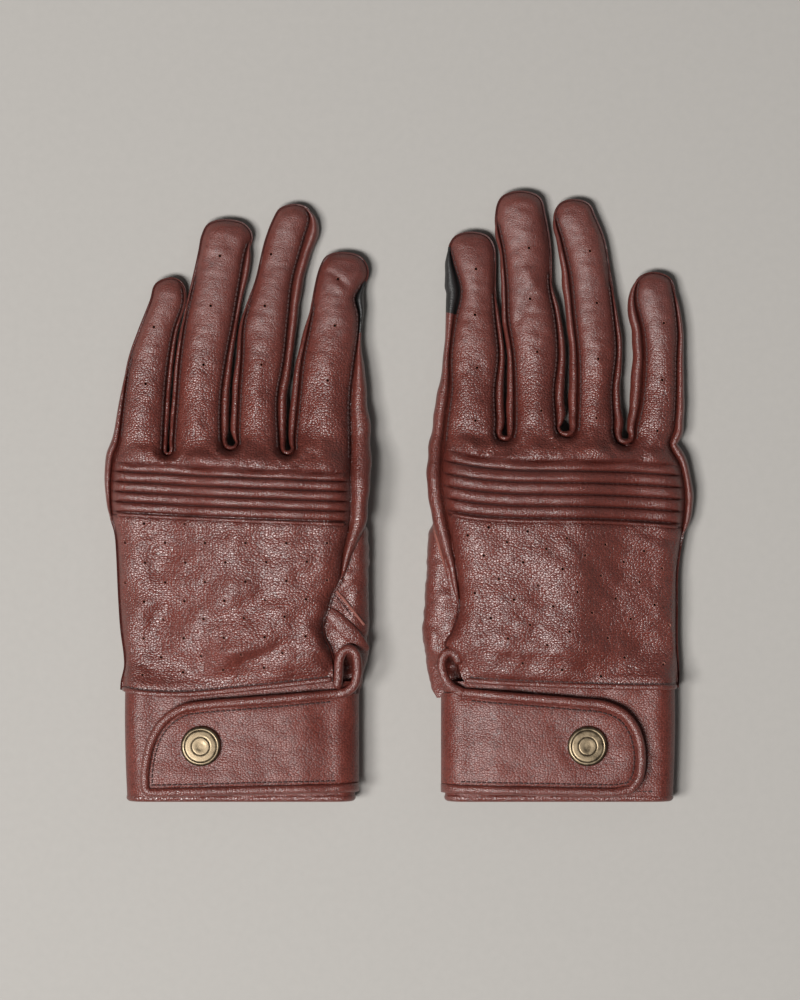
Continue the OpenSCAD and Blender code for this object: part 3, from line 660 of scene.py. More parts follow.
def triangulate(outline, spacing, holes=()):
    """Triangles of a flat panel with round air holes, as points and faces."""
    points = np.vstack([outline, fill_points(outline, spacing)])
    holes = np.array(holes, float).reshape(-1, 2)
    edges = []
    if len(holes):
        keep = nearest(points, holes) > HOLE_R + 0.25
        keep[:len(outline)] = True
        points = points[keep]
    for hole in holes:
        first = len(points)
        points = np.vstack([points, circle(hole, HOLE_R, HOLE_SIDES)])
        edges += [(first + k, first + (k + 1) % HOLE_SIDES) for k in range(HOLE_SIDES)]
    result = delaunay_2d_cdt([Vector(p) for p in points], edges,
                             [list(range(len(outline)))], 1, 1e-5)
    flat = np.array([tuple(v) for v in result[0]])
    faces = np.array([f for f in result[2] if len(f) == 3])
    if len(holes):
        faces = faces[nearest(flat[faces].mean(1), holes) > HOLE_R * 0.9]
    a, b, c = flat[faces[:, 0]], flat[faces[:, 1]], flat[faces[:, 2]]
    area = (b - a)[:, 0] * (c - a)[:, 1] - (b - a)[:, 1] * (c - a)[:, 0]
    return flat, np.where((area < 0)[:, None], faces[:, ::-1], faces)


def grid_faces(rows, cols, closed=False):
    """Quads of a grid of points, with its columns closed into rings if wanted."""
    across = cols if closed else cols - 1
    return [(r * cols + c, r * cols + (c + 1) % cols, (r + 1) * cols + (c + 1) % cols,
             (r + 1) * cols + c) for r in range(rows - 1) for c in range(across)]


def flip(faces):
    """The same faces, looking the other way."""
    return [f[::-1] for f in faces]


def tube(path, radius, segments=14, squash=1.0):
    """A round cord along a path, with rounded ends, as points and faces."""
    path = np.array(path, float)
    radius = np.broadcast_to(radius, len(path)).astype(float)
    along = np.gradient(path, axis=0)
    along /= np.linalg.norm(along, axis=1)[:, None]
    side = np.cross(along, (0, 0, 1.0))
    side /= np.linalg.norm(side, axis=1)[:, None] + 1e-9
    up = np.cross(side, along)
    rings, turn = [], np.arange(segments) * 2 * math.pi / segments
    caps = [(0, -1.0, 0.02), (0, -0.75, 0.65)], [(-1, 0.75, 0.65), (-1, 1.0, 0.02)]
    places = caps[0] + [(i, 0.0, 1.0) for i in range(len(path))] + caps[1]
    for i, shift, size in places:
        centre = path[i] + along[i] * radius[i] * shift * 0.8
        rings.append(centre + radius[i] * size * (np.outer(np.cos(turn), side[i])
                                                  + squash * np.outer(np.sin(turn), up[i])))
    faces = flip(grid_faces(len(rings), segments, True))
    last = (len(rings) - 1) * segments
    faces += [tuple(range(segments)), tuple(last + k for k in range(segments))[::-1]]
    return np.vstack(rings), faces


def stitch_row(path, pitch=2.0, length=1.25, radius=0.2):
    """Short stitches lying along a path, as points and faces."""
    reach = arc_length(path)
    verts, faces = [], []
    for s in np.arange(pitch / 2, reach[-1] - length, pitch):
        ends = [np.array([np.interp(q, reach, path[:, k]) for k in range(3)])
                for q in (s, s + length / 2, s + length)]
        ends[1][2] += radius * 0.5
        v, f = tube(np.array(ends), radius, 6)
        faces += [tuple(i + len(verts) * len(v) for i in face) for face in f]
        verts.append(v)
    return np.vstack(verts), faces


def join_parts(parts):
    """One list of points and faces from several."""
    verts, faces, first = [], [], 0
    for v, f in parts:
        verts.append(np.array(v))
        faces += [tuple(int(i) + first for i in face) for face in f]
        first += len(v)
    return np.vstack(verts), faces


# ---- materials -------------------------------------------------------------------------------

class Nodes:
    """Short ways to add and join a material's nodes."""

    def __init__(self, name):
        self.material = bpy.data.materials.new(name)
        self.material.use_nodes = True
        self.tree = self.material.node_tree
        self.shader = self.tree.nodes["Principled BSDF"]

    def put(self, kind, sockets=(), **settings):
        """A new node with these sockets joined or set."""
        node = self.tree.nodes.new("ShaderNode" + kind)
        for key, value in settings.items():
            setattr(node, key, value)
        for key, value in dict(sockets).items():
            if isinstance(value, bpy.types.NodeSocket):
                self.tree.links.new(value, node.inputs[key])
            else:
                node.inputs[key].default_value = value
        return node

    def place(self):
        """Where a point lies on the leather at rest, in mm."""
        return self.put("Attribute", attribute_name="leather_co").outputs["Vector"]

    def noise(self, place, scale, detail):
        """Cloudy noise."""
        return self.put("TexNoise", {"Vector": place, "Scale": scale,
                                     "Detail": detail}).outputs["Fac"]

    def scaled(self, vector, factors):
        """A vector times these factors."""
        return self.put("VectorMath", {0: vector, 1: factors}, operation="MULTIPLY").outputs[0]

    def bump(self, height, strength, distance):
        """A surface normal that shows this height."""
        return self.put("Bump", {"Height": height, "Strength": strength,
                                 "Distance": distance}).outputs[0]

    def math(self, operation, a, b=0.5, c=0.5):
        """One step of arithmetic."""
        return self.put("Math", {0: a, 1: b, 2: c}, operation=operation).outputs[0]

    def blend(self, factor, a, b):
        """A colour between a and b."""
        node = self.put("Mix", {0: factor, 6: a, 7: b}, data_type="RGBA")
        return node.outputs[2]

    def spread(self, value, low, high, to_low, to_high):
        """A value carried smoothly from one range to another."""
        node = self.put("MapRange", {0: value, 1: low, 2: high, 3: to_low, 4: to_high})
        node.interpolation_type = "SMOOTHSTEP"
        return node.outputs[0]

    def shade(self, **sockets):
        """Joins or sets sockets of the material's shader."""
        for key, value in sockets.items():
            socket = self.shader.inputs[key.replace("_", " ")]
            if isinstance(value, bpy.types.NodeSocket):
                self.tree.links.new(value, socket)
            else:
                socket.default_value = value


def leather(name, colour, dark, light, grain=1.0, cross=0.0, roughness=0.33, depth=1.0,
            shine=1.0):
    """Grained leather. Grain sets the size of its pebbles, cross the share of cross wrinkles
    towards the fingertips, depth how strongly the surface stands out, shine its specular."""
    n = Nodes(name)
    place = n.place()
    seam = n.put("Attribute", attribute_name="seam_shade").outputs["Fac"]
    bend = n.put("TexNoise", {"Vector": place, "Scale": 0.4, "Detail": 2.0}).outputs["Color"]
    place = n.put("VectorMath", {0: place, 1: bend}, operation="ADD").outputs[0]
    along = n.put("SeparateXYZ", {0: place}).outputs[1]
    tip = n.spread(along, 38.0, 92.0, 0.0, 1.0)
    brushed = n.scaled(place, (0.84, 1.16, 1.0))
    pebbles, creases = pebble_field(n, brushed, 1.06 / grain)
    small, small_creases = pebble_field(n, brushed, 1.8 / grain)
    lines = n.put("TexNoise", {"Vector": n.scaled(place, (0.34, 1.25, 1.0)), "Scale": 1.0,
                               "Detail": 3.0, "Roughness": 0.55}).outputs["Fac"]
    patches = n.noise(place, 0.05, 3.0)
    mottle = n.noise(place, 0.3, 4.0)
    share = n.math("MULTIPLY_ADD", tip, cross, 0.15 * cross)
    relief = n.math("MULTIPLY_ADD", n.math("SUBTRACT", small, pebbles), share, pebbles)
    relief = n.math("MULTIPLY_ADD", lines, n.math("MULTIPLY", share, 1.3), relief)
    worn = n.spread(patches, 0.3, 0.7, 0.0, 1.0)
    base = n.blend(n.math("MULTIPLY", worn, 0.6), colour, light)
    base = n.blend(n.spread(mottle, 0.4, 0.8, 0.0, 0.3), base, dark)
    # Painted shade: the base colour darkens in the creases between the pebbles
    crease_shade = n.math("MULTIPLY_ADD", n.math("SUBTRACT", small_creases, creases), share, creases)
    base = n.blend(n.math("MULTIPLY", crease_shade, 0.7), base, dark)
    fade = n.math("MULTIPLY_ADD", tip, -0.5, 1.0)
    gloss = n.math("MULTIPLY_ADD", tip, 0.14, n.math("MULTIPLY_ADD", mottle, 0.12,
                                                     roughness - 0.06))
    # Painted shade: the colour darkens by the seam_shade attribute near seams and in grooves
    n.shade(Base_Color=n.blend(n.math("MULTIPLY", seam, 0.85), base, dark), Roughness=gloss,
            Normal=n.bump(n.math("MULTIPLY", relief, fade), 1.0, 0.00016 * depth),
            Specular_IOR_Level=shine, IOR=1.5)
    return n.material


def pebble_field(n, place, scale):
    """Height of domed pebbles, and how deep in a crease between them each point lies."""
    spot = n.put("TexVoronoi", {"Vector": place, "Scale": scale, "Randomness": 0.8},
                 feature="F1").outputs["Distance"]
    edge = n.put("TexVoronoi", {"Vector": place, "Scale": scale, "Randomness": 0.8},
                 feature="DISTANCE_TO_EDGE").outputs["Distance"]
    crease = n.spread(edge, 0.0, 0.17, 1.0, 0.0)
    dome = n.math("MULTIPLY_ADD", n.math("MULTIPLY", spot, spot), -1.7, 1.0)
    return n.math("MULTIPLY_ADD", crease, -0.3, dome), crease


def raw_edge():
    """The pale cut edge of the leather, with its loose fibres."""
    n = Nodes("cut_edge")
    place = n.place()
    fibre = n.noise(place, 3.5, 4.0)
    n.shade(Base_Color=n.blend(n.spread(fibre, 0.35, 0.65, 0, 1), (0.15, 0.040, 0.030, 1),
                               (0.36, 0.150, 0.120, 1)),
            Normal=n.bump(fibre, 0.5, 0.0003), Roughness=0.8, Specular_IOR_Level=0.3)
    return n.material


def thread():
    """Waxed sewing thread with its twist."""
    n = Nodes("thread")
    place = n.place()
    twist = n.put("TexWave", {"Vector": place, "Scale": 2.2, "Distortion": 0.6},
                  bands_direction="DIAGONAL").outputs["Fac"]
    n.shade(Base_Color=n.blend(twist, (0.03, 0.008, 0.007, 1), (0.09, 0.024, 0.02, 1)),
            Normal=n.bump(twist, 0.5, 0.0002), Roughness=0.5, Sheen_Weight=0.2)
    return n.material


def cloth(name, dark, light):
    """Knitted lining with fine ribs."""
    n = Nodes(name)
    place = n.place()
    rib = n.put("TexWave", {"Vector": place, "Scale": 0.45, "Distortion": 0.8}).outputs["Fac"]
    fuzz = n.noise(place, 2.5, 4.0)
    relief = n.math("MULTIPLY_ADD", rib, 0.6, n.math("MULTIPLY", fuzz, 0.5))
    n.shade(Base_Color=n.blend(relief, dark, light), Roughness=0.9, Sheen_Weight=0.4,
            Normal=n.bump(relief, 0.6, 0.0003))
    return n.material


def brass():
    """Old brass: dark in its hollows, rubbed bright on its rims."""
    n = Nodes("old_brass")
    place = n.put("TexCoord").outputs["Object"]
    stain = n.noise(place, 420.0, 4.0)
    scratch = n.noise(place, 2600.0, 3.0)
    point = n.put("NewGeometry").outputs["Pointiness"]
    worn = n.math("ADD", n.spread(point, 0.46, 0.53, 0.1, 0.75),
                  n.spread(stain, 0.4, 0.7, 0.0, 0.35))
    n.shade(Base_Color=n.blend(worn, (0.060, 0.042, 0.024, 1), (0.235, 0.185, 0.122, 1)),
            Metallic=1.0, Roughness=n.spread(stain, 0.3, 0.7, 0.30, 0.48),
            Normal=n.bump(scratch, 0.25, 0.0001))
    return n.material


# The leather's colour, a darker tone for random mottle and for painted shade in creases and by
# seams, and a lighter tone for random patches
OXBLOOD = (0.165, 0.033, 0.023, 1)
OXBLOOD_DARK = (0.038, 0.006, 0.0045, 1)
OXBLOOD_LIGHT = (0.225, 0.052, 0.037, 1)
HAND_LEATHER = leather("hand_leather", OXBLOOD, OXBLOOD_DARK, OXBLOOD_LIGHT, 1.0, 0.7)
ROLL_LEATHER = leather("roll_leather", OXBLOOD, OXBLOOD_DARK, OXBLOOD_LIGHT, 0.8, 0.5, 0.31,
                       0.7)
STRAP_LEATHER = leather("strap_leather", OXBLOOD, OXBLOOD_DARK, OXBLOOD_LIGHT, 0.9, 0.2, 0.39,
                        0.55, 0.6)
PALM_LEATHER = leather("palm_leather", (0.13, 0.027, 0.019, 1), OXBLOOD_DARK, OXBLOOD, 0.8, 0.4,
                       0.5, 0.8)
BLACK_LEATHER = leather("black_leather", (0.007, 0.006, 0.006, 1), (0.002, 0.002, 0.002, 1),
                        (0.011, 0.010, 0.010, 1), 0.8, 0.2, 0.40, 0.6)
CUT_EDGE = raw_edge()
THREAD = thread()
LINING = cloth("lining_cloth", (0.13, 0.055, 0.050, 1), (0.30, 0.150, 0.135, 1))
BRASS = brass()


# ---- the parts of a glove --------------------------------------------------------------------

def joint(glove, label):
    """One of the glove's joints in the frame."""
    return next(j for j in frame["joints"] if j["name"] == f"{glove.side}_{label}")


def cuff_sides(glove):
    """Distances of the cuff's two sides from the middle of the pair."""
    return sorted(abs(corner.x) * 1000 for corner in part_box(f"{glove.side}_cuff_band"))


def finger_line(glove, name):
    """Where a finger's leather would start and end turning with the finger, in mm design space."""
    hinge = joint(glove, f"{name}_bend")
    pivot = np.array(hinge["pos_m"][:2]) * 1000 * (glove.sign, 1)
    axis = np.array(hinge["axis"][:2]) * (glove.sign, 1)
    ahead = np.array([-axis[1], axis[0]])
    ahead *= np.sign(ahead[1])
    first, last = glove.spans[name]
    corners = glove.border[[first, last]]
    start = ((corners - pivot) @ ahead).max() + 0.6
    return pivot + ahead * start, pivot + ahead * (start + 17)


def bend_with(glove, obj, name):
    """Bakes a finger's piece into place. Where it would turn with the finger is found but not used.
    """
    start, end = [(glove.sign * p[0] * MM, p[1] * MM, 0) for p in finger_line(glove, name)]
    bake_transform(obj)


def finger_outline(glove, name):
    """Outline of a finger's panels, closed by a chord across its root."""
    border = glove.border
    first, last = glove.spans[name]
    return np.vstack([border[first:last + 1], chord(border[last], border[first])])


def chord(a, b, step=STEP):
    """Points strictly between a and b."""
    count = max(2, int(round(np.linalg.norm(b - a) / step)))
    return a + (b - a) * (np.arange(1, count) / count)[:, None]


def past_finger_roots(glove, first):
    """Outline from a border point to the little finger and on across the four finger roots,
    and the number of the border point that follows."""
    border = glove.border
    ends = [glove.spans[n][0] for n in FINGERS] + [glove.spans["index"][1]]
    front = [border[first:ends[0] + 1]]
    for a, b in zip(ends, ends[1:]):
        front += [chord(border[a], border[b]), border[b:b + 1]]
    return np.vstack(front), ends[-1] + 1


def pad_curve(glove, which, shift=0.0):
    """Points (u, y) of one edge of the knuckle pad, from the outer seam to the inner one, and
    the numbers of the border points at its two ends."""
    border = glove.border
    curve = spline(glove.design[which], STEP)[::-1] + (0, shift)
    curve = curve[inside(glove.outline, curve)]
    near = [np.abs(np.linalg.norm(border - end, axis=1)).argmin() for end in (curve[0], curve[-1])]
    return np.vstack([border[near[0]], curve[1:-1], border[near[1]]]), near


def edge_roll(distance, height, width):
    """Leather that rolls down into a seam: nothing at the seam, then a soft ridge beside it."""
    return height * (np.exp(-((distance / width - 1.1) ** 2)) - 1.3 * np.exp(-distance / 0.5))


def seam_distance(glove, flat):
    """Distance from the seams round the fingers and above the knuckle pad, for the painted shade
    beside them.
    """
    sewn = glove.border[glove.bulge > 0.7]
    near = np.min([((flat[:, None] - sewn[k::4]) ** 2).sum(2).min(1) for k in range(4)], axis=0)
    return np.minimum(np.sqrt(near), distance_to(glove.pad_top, flat))


def build_lips(glove, label, holes, z):
    """The pale rims of punched air holes."""
    rings = []
    for hole, height in zip(np.array(holes), z):
        rim = circle(hole, HOLE_R, HOLE_SIDES, True)
        rings.append(tube(np.column_stack([rim, np.full(len(rim), height + 0.03)]), 0.13, 6))
    return make_object(f"{glove.side}_{label}_hole_rims", *join_parts(rings), glove.sign, CUT_EDGE)


def build_fingers(glove):
    """The four fingers: backs with air holes, fronts, gusset rolls and stitches."""
    for name in FINGERS:
        design = glove.design[name]
        outline = finger_outline(glove, name)
        flat, faces = triangulate(outline, 1.15, design["holes"])
        z = glove.top(flat)
        # Painted shade beside the sewn seams
        back = make_object(f"{glove.side}_{name}_finger_back", np.column_stack([flat, z]), faces,
                           glove.sign, HAND_LEATHER, seam_distance(glove, flat))
        thicken(back, LEATHER_T)
        bend_with(glove, back, name)
        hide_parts(f"{glove.side}_{name}_back")
        lips = build_lips(glove, name, design["holes"], glove.top(np.array(design["holes"])))
        bend_with(glove, lips, name)
        build_finger_front(glove, name, outline)
        build_finger_rolls(glove, name)


def build_finger_front(glove, name, outline):
    """The palm side of a finger. The index finger's ends in a black touch-screen tip."""
    flat, faces = triangulate(outline, 2.4)
    verts = np.column_stack([flat, glove.palm_z(flat)])
    faces = faces[:, ::-1]
    middle = flat[faces].mean(1)[:, 1]
    split = touch_start(glove) if name == "index" else 999
    near = faces[middle < split]
    front = make_object(f"{glove.side}_{name}_finger_front", verts, near, glove.sign,
                        [PALM_LEATHER, CUT_EDGE])
    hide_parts(f"{glove.side}_{name}_front")
    pieces = [front]
    if name == "index":
        tip = make_object(f"{glove.side}_touch_tip_front", verts, faces[middle >= split],
                          glove.sign, BLACK_LEATHER)
        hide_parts(f"{glove.side}_index_touch_tip")
        pieces.append(tip)
    for piece in pieces:
        drop_loose(piece)
        thicken(piece, LEATHER_T)
        bend_with(glove, piece, name)


def drop_loose(obj):
    """Removes the points that no face uses."""
    mesh = obj.data
    used = set(i for p in mesh.polygons for i in p.vertices)
    if len(used) == len(mesh.vertices):
        return
    bm = bmesh.new()
    bm.from_mesh(mesh)
    bmesh.ops.delete(bm, geom=[v for v in bm.verts if not v.link_faces], context="VERTS")
    bm.to_mesh(mesh)
    bm.free()


def touch_start(glove):
    """Where the index finger's black tip begins."""
    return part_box(f"{glove.side}_index_touch_tip")[0].y * 1000 - 2


def roll_section(bulge, top, bottom):
    """Section of the roll beside a seam, from under the back's edge to the palm's edge."""
    crest = min(1.5, 0.34 * bulge)
    points = [(-1.0, top - 1.6), (0.10 * bulge, top - 0.9), (0.34 * bulge, top + 0.75 * crest),
              (0.58 * bulge, top + crest), (0.84 * bulge, top + 0.2 * crest),
              (bulge, top - 1.2 - 0.12 * bulge), (0.99 * bulge, (top + bottom) / 2),
              (0.8 * bulge, bottom + 1.2), (0.25 * bulge, bottom - 0.1), (-0.9, bottom + 0.1)]
    return resample(spline(points, 0.7), np.linspace(0, 1, ROLL_POINTS))


def build_roll(glove, name, first, last, material):
    """A convex strip of leather beside the seam, between two points of the border."""
    p, n, bulge = (a[first:last + 1] for a in (glove.border, glove.outward, glove.bulge))
    top = glove.seam_z(p)
    bottom = glove.lift(p) + PALM_EDGE_Z
    pleat = 0.045 * ripple(np.column_stack([np.arange(first, last + 1) * STEP, bulge]), 13,
                           glove.seed + 7)
    rows, seam = [], []
    for k in range(len(p)):
        section = roll_section(max(0.05, bulge[k] * (1 + pleat[k])), top[k], bottom[k])
        rows.append(np.column_stack([p[k] + n[k] * section[:, :1], section[:, 1]]))
        # Painted shade: the roll darkens next to its seam
        seam.append(np.hypot(np.maximum(section[:, 0], 0), section[:, 1] - top[k] + 0.2))
    roll = make_object(name, np.vstack(rows), grid_faces(len(rows), ROLL_POINTS), glove.sign,
                       material, 1.3 * np.concatenate(seam))
    return thicken(roll, 0.9)


def build_finger_rolls(glove, name):
    """The gusset rolls on both sides of a finger, and the stitches of its seam."""
    first, last = glove.spans[name]
    tip = glove.tips[name]
    tag = f"{glove.side}_{name}"
    parts = [(first, tip, "outer_gusset", ROLL_LEATHER), (tip, last, "inner_gusset", ROLL_LEATHER)]
    if name == "index":
        y = glove.border[tip:last, 1]
        begin = tip + int(np.argmax(glove.bulge[tip:last] > 0.4))
        cut = tip + int(np.argmax(y < touch_start(glove)))
        parts = [(first, begin, "outer_gusset", ROLL_LEATHER),
                 (begin, cut, "touch_gusset", BLACK_LEATHER),
                 (cut, last, "inner_gusset", ROLL_LEATHER)]
    for a, b, label, material in parts:
        roll = build_roll(glove, f"{tag}_{label}", a, b, material)
        bend_with(glove, roll, name)
        black = material is BLACK_LEATHER
        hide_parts(f"{tag}_touch_tip" if black else f"{tag}_gussets")
    rows = []
    for a, b in ((first + 3, tip - 3), (tip + 3, last - 3)):
        shown = np.flatnonzero(glove.bulge[a:b] > 0.7) + a
        line = glove.border[shown] - 0.6 * glove.outward[shown]
        rows.append(stitch_row(np.column_stack([line, glove.top(line) + 0.1]), radius=0.25))
    seam = make_object(f"{tag}_stitches", *join_parts(rows), glove.sign, THREAD)
    bend_with(glove, seam, name)


def ride_hand(glove, obj, slot, *nodes):
    """The piece moves with the hand and stands for these CAD nodes."""
    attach(obj, glove.side + "_hand")
    if nodes:
        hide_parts(*[f"{glove.side}_{n}" for n in nodes])
    return obj


def hand_piece(glove, label, mesh, material, *nodes):
    """A leather piece of the hand, from points and faces, that stands for these CAD nodes."""
    obj = make_object(f"{glove.side}_{label}", *mesh, glove.sign, material)
    return ride_hand(glove, obj, "oxblood_leather", *nodes)


def build_upper_back(glove):
    """From the knuckle pad to the finger roots."""
    curve, (outer, inner) = pad_curve(glove, "pad_top", PAD_LAP)
    front, after = past_finger_roots(glove, outer)
    outline = np.vstack([front, glove.border[after:inner + 1], curve[-2:0:-1]])
    flat, faces = triangulate(outline, 1.2)
    z = glove.top(flat)
    # Painted shade beside the sewn seams and above the knuckle pad
    back = make_object(f"{glove.side}_upper_back", np.column_stack([flat, z]), faces, glove.sign,
                       HAND_LEATHER, seam_distance(glove, flat))
    ride_hand(glove, thicken(back, LEATHER_T), "oxblood_leather", "back_upper")


def pad_grid(glove, shares, across):
    """Plan points of the pad's rows from its upper to its lower edge, and that lower edge."""
    top, near_top = pad_curve(glove, "pad_top")
    end, near_end = pad_curve(glove, "pad_end", -WELT_W)
    upper, lower = resample(top, across), resample(end, across)
    outer = resample(glove.border[near_end[0]:near_top[0] + 1][::-1], shares)
    inner = resample(glove.border[near_top[1]:near_end[1] + 1], shares)
    rows = []
    for share, first, last in zip(shares, outer, inner):
        line = upper * (1 - share) + lower * share
        rows.append(line + np.outer((1 - across) ** 6, first - line[0])
                    + np.outer(across**6, last - line[-1]))
    return np.vstack(rows), end


def build_pad(glove):
    """The ribbed knuckle pad, its welt, and the stitches in its grooves."""
    across = np.linspace(0, 1, 96)
    per_rib = 10
    steps = np.arange(RIBS * per_rib + 1)
    shares = np.concatenate([np.linspace(0, 1, len(steps)), [1.02, 1.035, 1.05, 1.062]])
    rib = np.sqrt(np.clip(1 - (2 * ((steps / per_rib) % 1) - 1) ** 2, 0, 1))
    height = np.repeat(np.concatenate([rib, [0.45, 0.62, 0.45, 0.0]]), len(across))
    flat, end = pad_grid(glove, shares / shares[-1], across)
    rise, depth = glove.crown.at(flat)
    z = (glove.seam_z(flat) + CROWN_GAIN * rise - 0.2
         + smooth01(depth / 3) * (0.3 * ripple(flat, 21, glove.seed) + 2.3 * height - 1.0
                                  + 0.08 * ripple(flat, 4, glove.seed + 5, (2.5, 1.0))))
    z -= 1.5 * smooth01(depth / 12) * np.exp(-distance_to(glove.pad_top, flat) / 1.6)
    faces = face_up(flat, flip(grid_faces(len(shares), len(across))))
    # Painted shade: the grooves between the ribs are darkened through seam_shade
    pad = make_object(f"{glove.side}_ribbed_pad", np.column_stack([flat, z]), faces, glove.sign,
                      [ROLL_LEATHER, CUT_EDGE], 2.2 * height**2)
    thicken(pad, LEATHER_T)
    ride_hand(glove, pad, "oxblood_leather", "knuckle_pad", "knuckle_foam")
    stitches = []
    for k in range(1, RIBS + 1):
        row = slice(k * per_rib * len(across) + 4, (k * per_rib + 1) * len(across) - 4)
        stitches.append(stitch_row(np.column_stack([flat[row], z[row] + 0.12]), 2.4, 1.5, 0.18))
    hand_piece(glove, "pad_stitches", join_parts(stitches), THREAD)
    line = end[2:-2]
    hand_piece(glove, "pad_welt", tube(np.column_stack([line, glove.top(line) + 0.35]), 0.65, 10),
               ROLL_LEATHER)


def face_up(flat, faces):
    """The faces, turned if needed so that they look up."""
    a, b, c = (flat[faces[0][k]] for k in range(3))
    area = (b - a)[0] * (c - a)[1] - (b - a)[1] * (c - a)[0]
    return flip(faces) if area < 0 else faces


def build_lower_back(glove):
    """The perforated panel between the knuckle pad and the cuff, with its stitched hem."""
    border = glove.border
    design = glove.design
    curve, (outer, inner) = pad_curve(glove, "pad_end", -WELT_W)
    hem = spline(design["hem"], STEP)
    outline = np.vstack([curve, border[inner + 1:], hem[-2:0:-1], border[:outer]])
    holes = np.vstack([(u + design["hole_pitch"] * k, y + slope * k)
                       for u, y, count, slope in design["hole_rows"] for k in range(count)])
    room = distance_to(np.vstack([outline, outline[:1]]), holes)
    holes = holes[inside(outline, holes) & (room > 1.6)]
    flat, faces = triangulate(outline, 1.2, holes)
    to_hem = distance_to(hem, flat)
    z = hem_level(glove, flat, to_hem) + edge_roll(distance_to(curve, flat), 0.5, 2.0)
    # Painted shade near the knuckle pad's lower edge and along the hem
    back = make_object(f"{glove.side}_lower_back", np.column_stack([flat, z]), faces, glove.sign,
                       [HAND_LEATHER, CUT_EDGE], np.minimum(distance_to(curve, flat), to_hem))
    ride_hand(glove, thicken(back, LEATHER_T), "oxblood_leather", "back_lower")
    depth = distance_to(hem, holes)
    ride_hand(glove, build_lips(glove, "back", holes, hem_level(glove, holes, depth)),
              "oxblood_leather")
    line = hem[1:-1] + (0, 0.7)
    fold = tube(np.column_stack([line, hem_level(glove, line, 0.7) + 0.3]), 1.1, 14)
    hand_piece(glove, "hem_fold", fold, ROLL_LEATHER)
    line = hem[2:-2] + (0, 2.1)
    row = np.column_stack([line, hem_level(glove, line, 2.1) + 0.15])
    hand_piece(glove, "hem_stitches", stitch_row(row, 2.0, 1.2, 0.28), THREAD)


def hem_level(glove, p, to_hem):
    """Height of the lower back, which rises in a soft ridge and laps over the cuff."""
    near, far = cuff_sides(glove)
    past = np.maximum(0, np.maximum(p[:, 0] - far + 8, near + STRAP_TURN - p[:, 0]))
    cover = 8 + np.sqrt(np.maximum(64 - past**2, 0)) + 1.9
    z = glove.top(p)
    z += smooth01(1.15 - to_hem / 13) * np.maximum(cover - z, 0.0)
    return z + 1.3 * np.exp(-((to_hem / 5) ** 2)) + 0.7 * np.exp(-(((to_hem - 4.2) / 1.5) ** 2))


def build_palm(glove):
    """The palm from the cuff to the finger roots."""
    border = glove.border
    front, after = past_finger_roots(glove, 0)
    hem = chord(border[-1], border[0], 2.2)
    flat, faces = triangulate(np.vstack([front, border[after:], hem]), 2.2)
    verts = np.column_stack([flat, glove.palm_z(flat)])
    palm = make_object(f"{glove.side}_palm_panel", verts, faces[:, ::-1], glove.sign,
                       [PALM_LEATHER, CUT_EDGE])
    ride_hand(glove, thicken(palm, LEATHER_T), "oxblood_leather", "palm")
    for a, b, label in ((0, glove.spans["pinky"][0], "outer"),
                        (glove.spans["index"][1], len(border) - 1, "inner")):
        roll = build_roll(glove, f"{glove.side}_{label}_side_strip", a, b, ROLL_LEATHER)
        ride_hand(glove, roll, "oxblood_leather", "side_strips")


def thumb_half(root, ahead, length, turn):
    """Points and faces of half the thumb, for these turns round its axis."""
    side = np.array([ahead[1], -ahead[0]])
    stations = np.concatenate([np.linspace(-11.5, length - 10, 34),
                               length - 10 + 10 * np.sin(np.linspace(0.15, math.pi / 2, 12))])
    rows = []
    for s in stations:
        near = math.sqrt(max(0.0, 1 - max(0.0, -s / 12.2) ** 2))
        far = math.sqrt(max(0.0, 1 - max(0.0, (s - length + 10) / 10.1) ** 2))
        k = near * far
        half = (9.8 - 0.6 * s / length) * k
        wave = 1 + 0.04 * math.sin(s * 0.9) + 0.03 * math.sin(s * 0.37 + 1)
        across = half * np.sign(np.cos(turn)) * np.abs(np.cos(turn)) ** 0.75
        up = (root[2] - 0.4) * k * np.sign(np.sin(turn)) * np.abs(np.sin(turn)) ** 0.75
        flat = root[:2] + ahead * s + np.outer(across, side)
        rows.append(np.column_stack([flat, root[2] + up * wave]))
    verts = np.vstack(rows)
    verts[:, 2] = np.maximum(verts[:, 2], 0.15)
    return verts, flip(grid_faces(len(rows), len(turn)))


def build_thumb(glove):
    """The thumb under the palm and the slack leather of its base beside the hand."""
    build_thumb_base(glove)
    root = np.array(joint(glove, "thumb_swing")["pos_m"]) * 1000 * (glove.sign, 1, 1)
    low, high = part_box(f"{glove.side}_thumb_back")
    tip = np.array([max(abs(low.x), abs(high.x)) * 1000 - 8, high.y * 1000 - 5])
    ahead = tip - root[:2]
    length = np.linalg.norm(ahead) + 9
    ahead /= np.linalg.norm(ahead)
    for label, turn in (("back", np.linspace(0, math.pi, THUMB_POINTS)),
                        ("front", np.linspace(math.pi, 2 * math.pi, THUMB_POINTS))):
        half = make_object(f"{glove.side}_thumb_{label}_half",
                           *thumb_half(root, ahead, length, turn), glove.sign,
                           [PALM_LEATHER, CUT_EDGE])
        thicken(half, 0.9)
        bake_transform(half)
        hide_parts(f"{glove.side}_thumb_{label}")


def base_section(y, far, near, top):
    """Section of the thumb base at y, from under the hand's edge to the floor below the palm."""
    span = far + 5 - near
    points = [(far + 5, top - 2.2), (far + 1, top - 0.6), (near + 0.45 * span, top - 0.2),
              (near + 0.22 * span, top - 1.0), (near + 0.6, top * 0.72), (near, top * 0.45),
              (near + 1.2, 2.0), (near + 6, 0.4), (near + 13, 0.6)]
    line = resample(spline(points, 0.8), np.linspace(0, 1, BASE_POINTS))
    return np.column_stack([line[:, 0], np.full(BASE_POINTS, y), line[:, 1]])


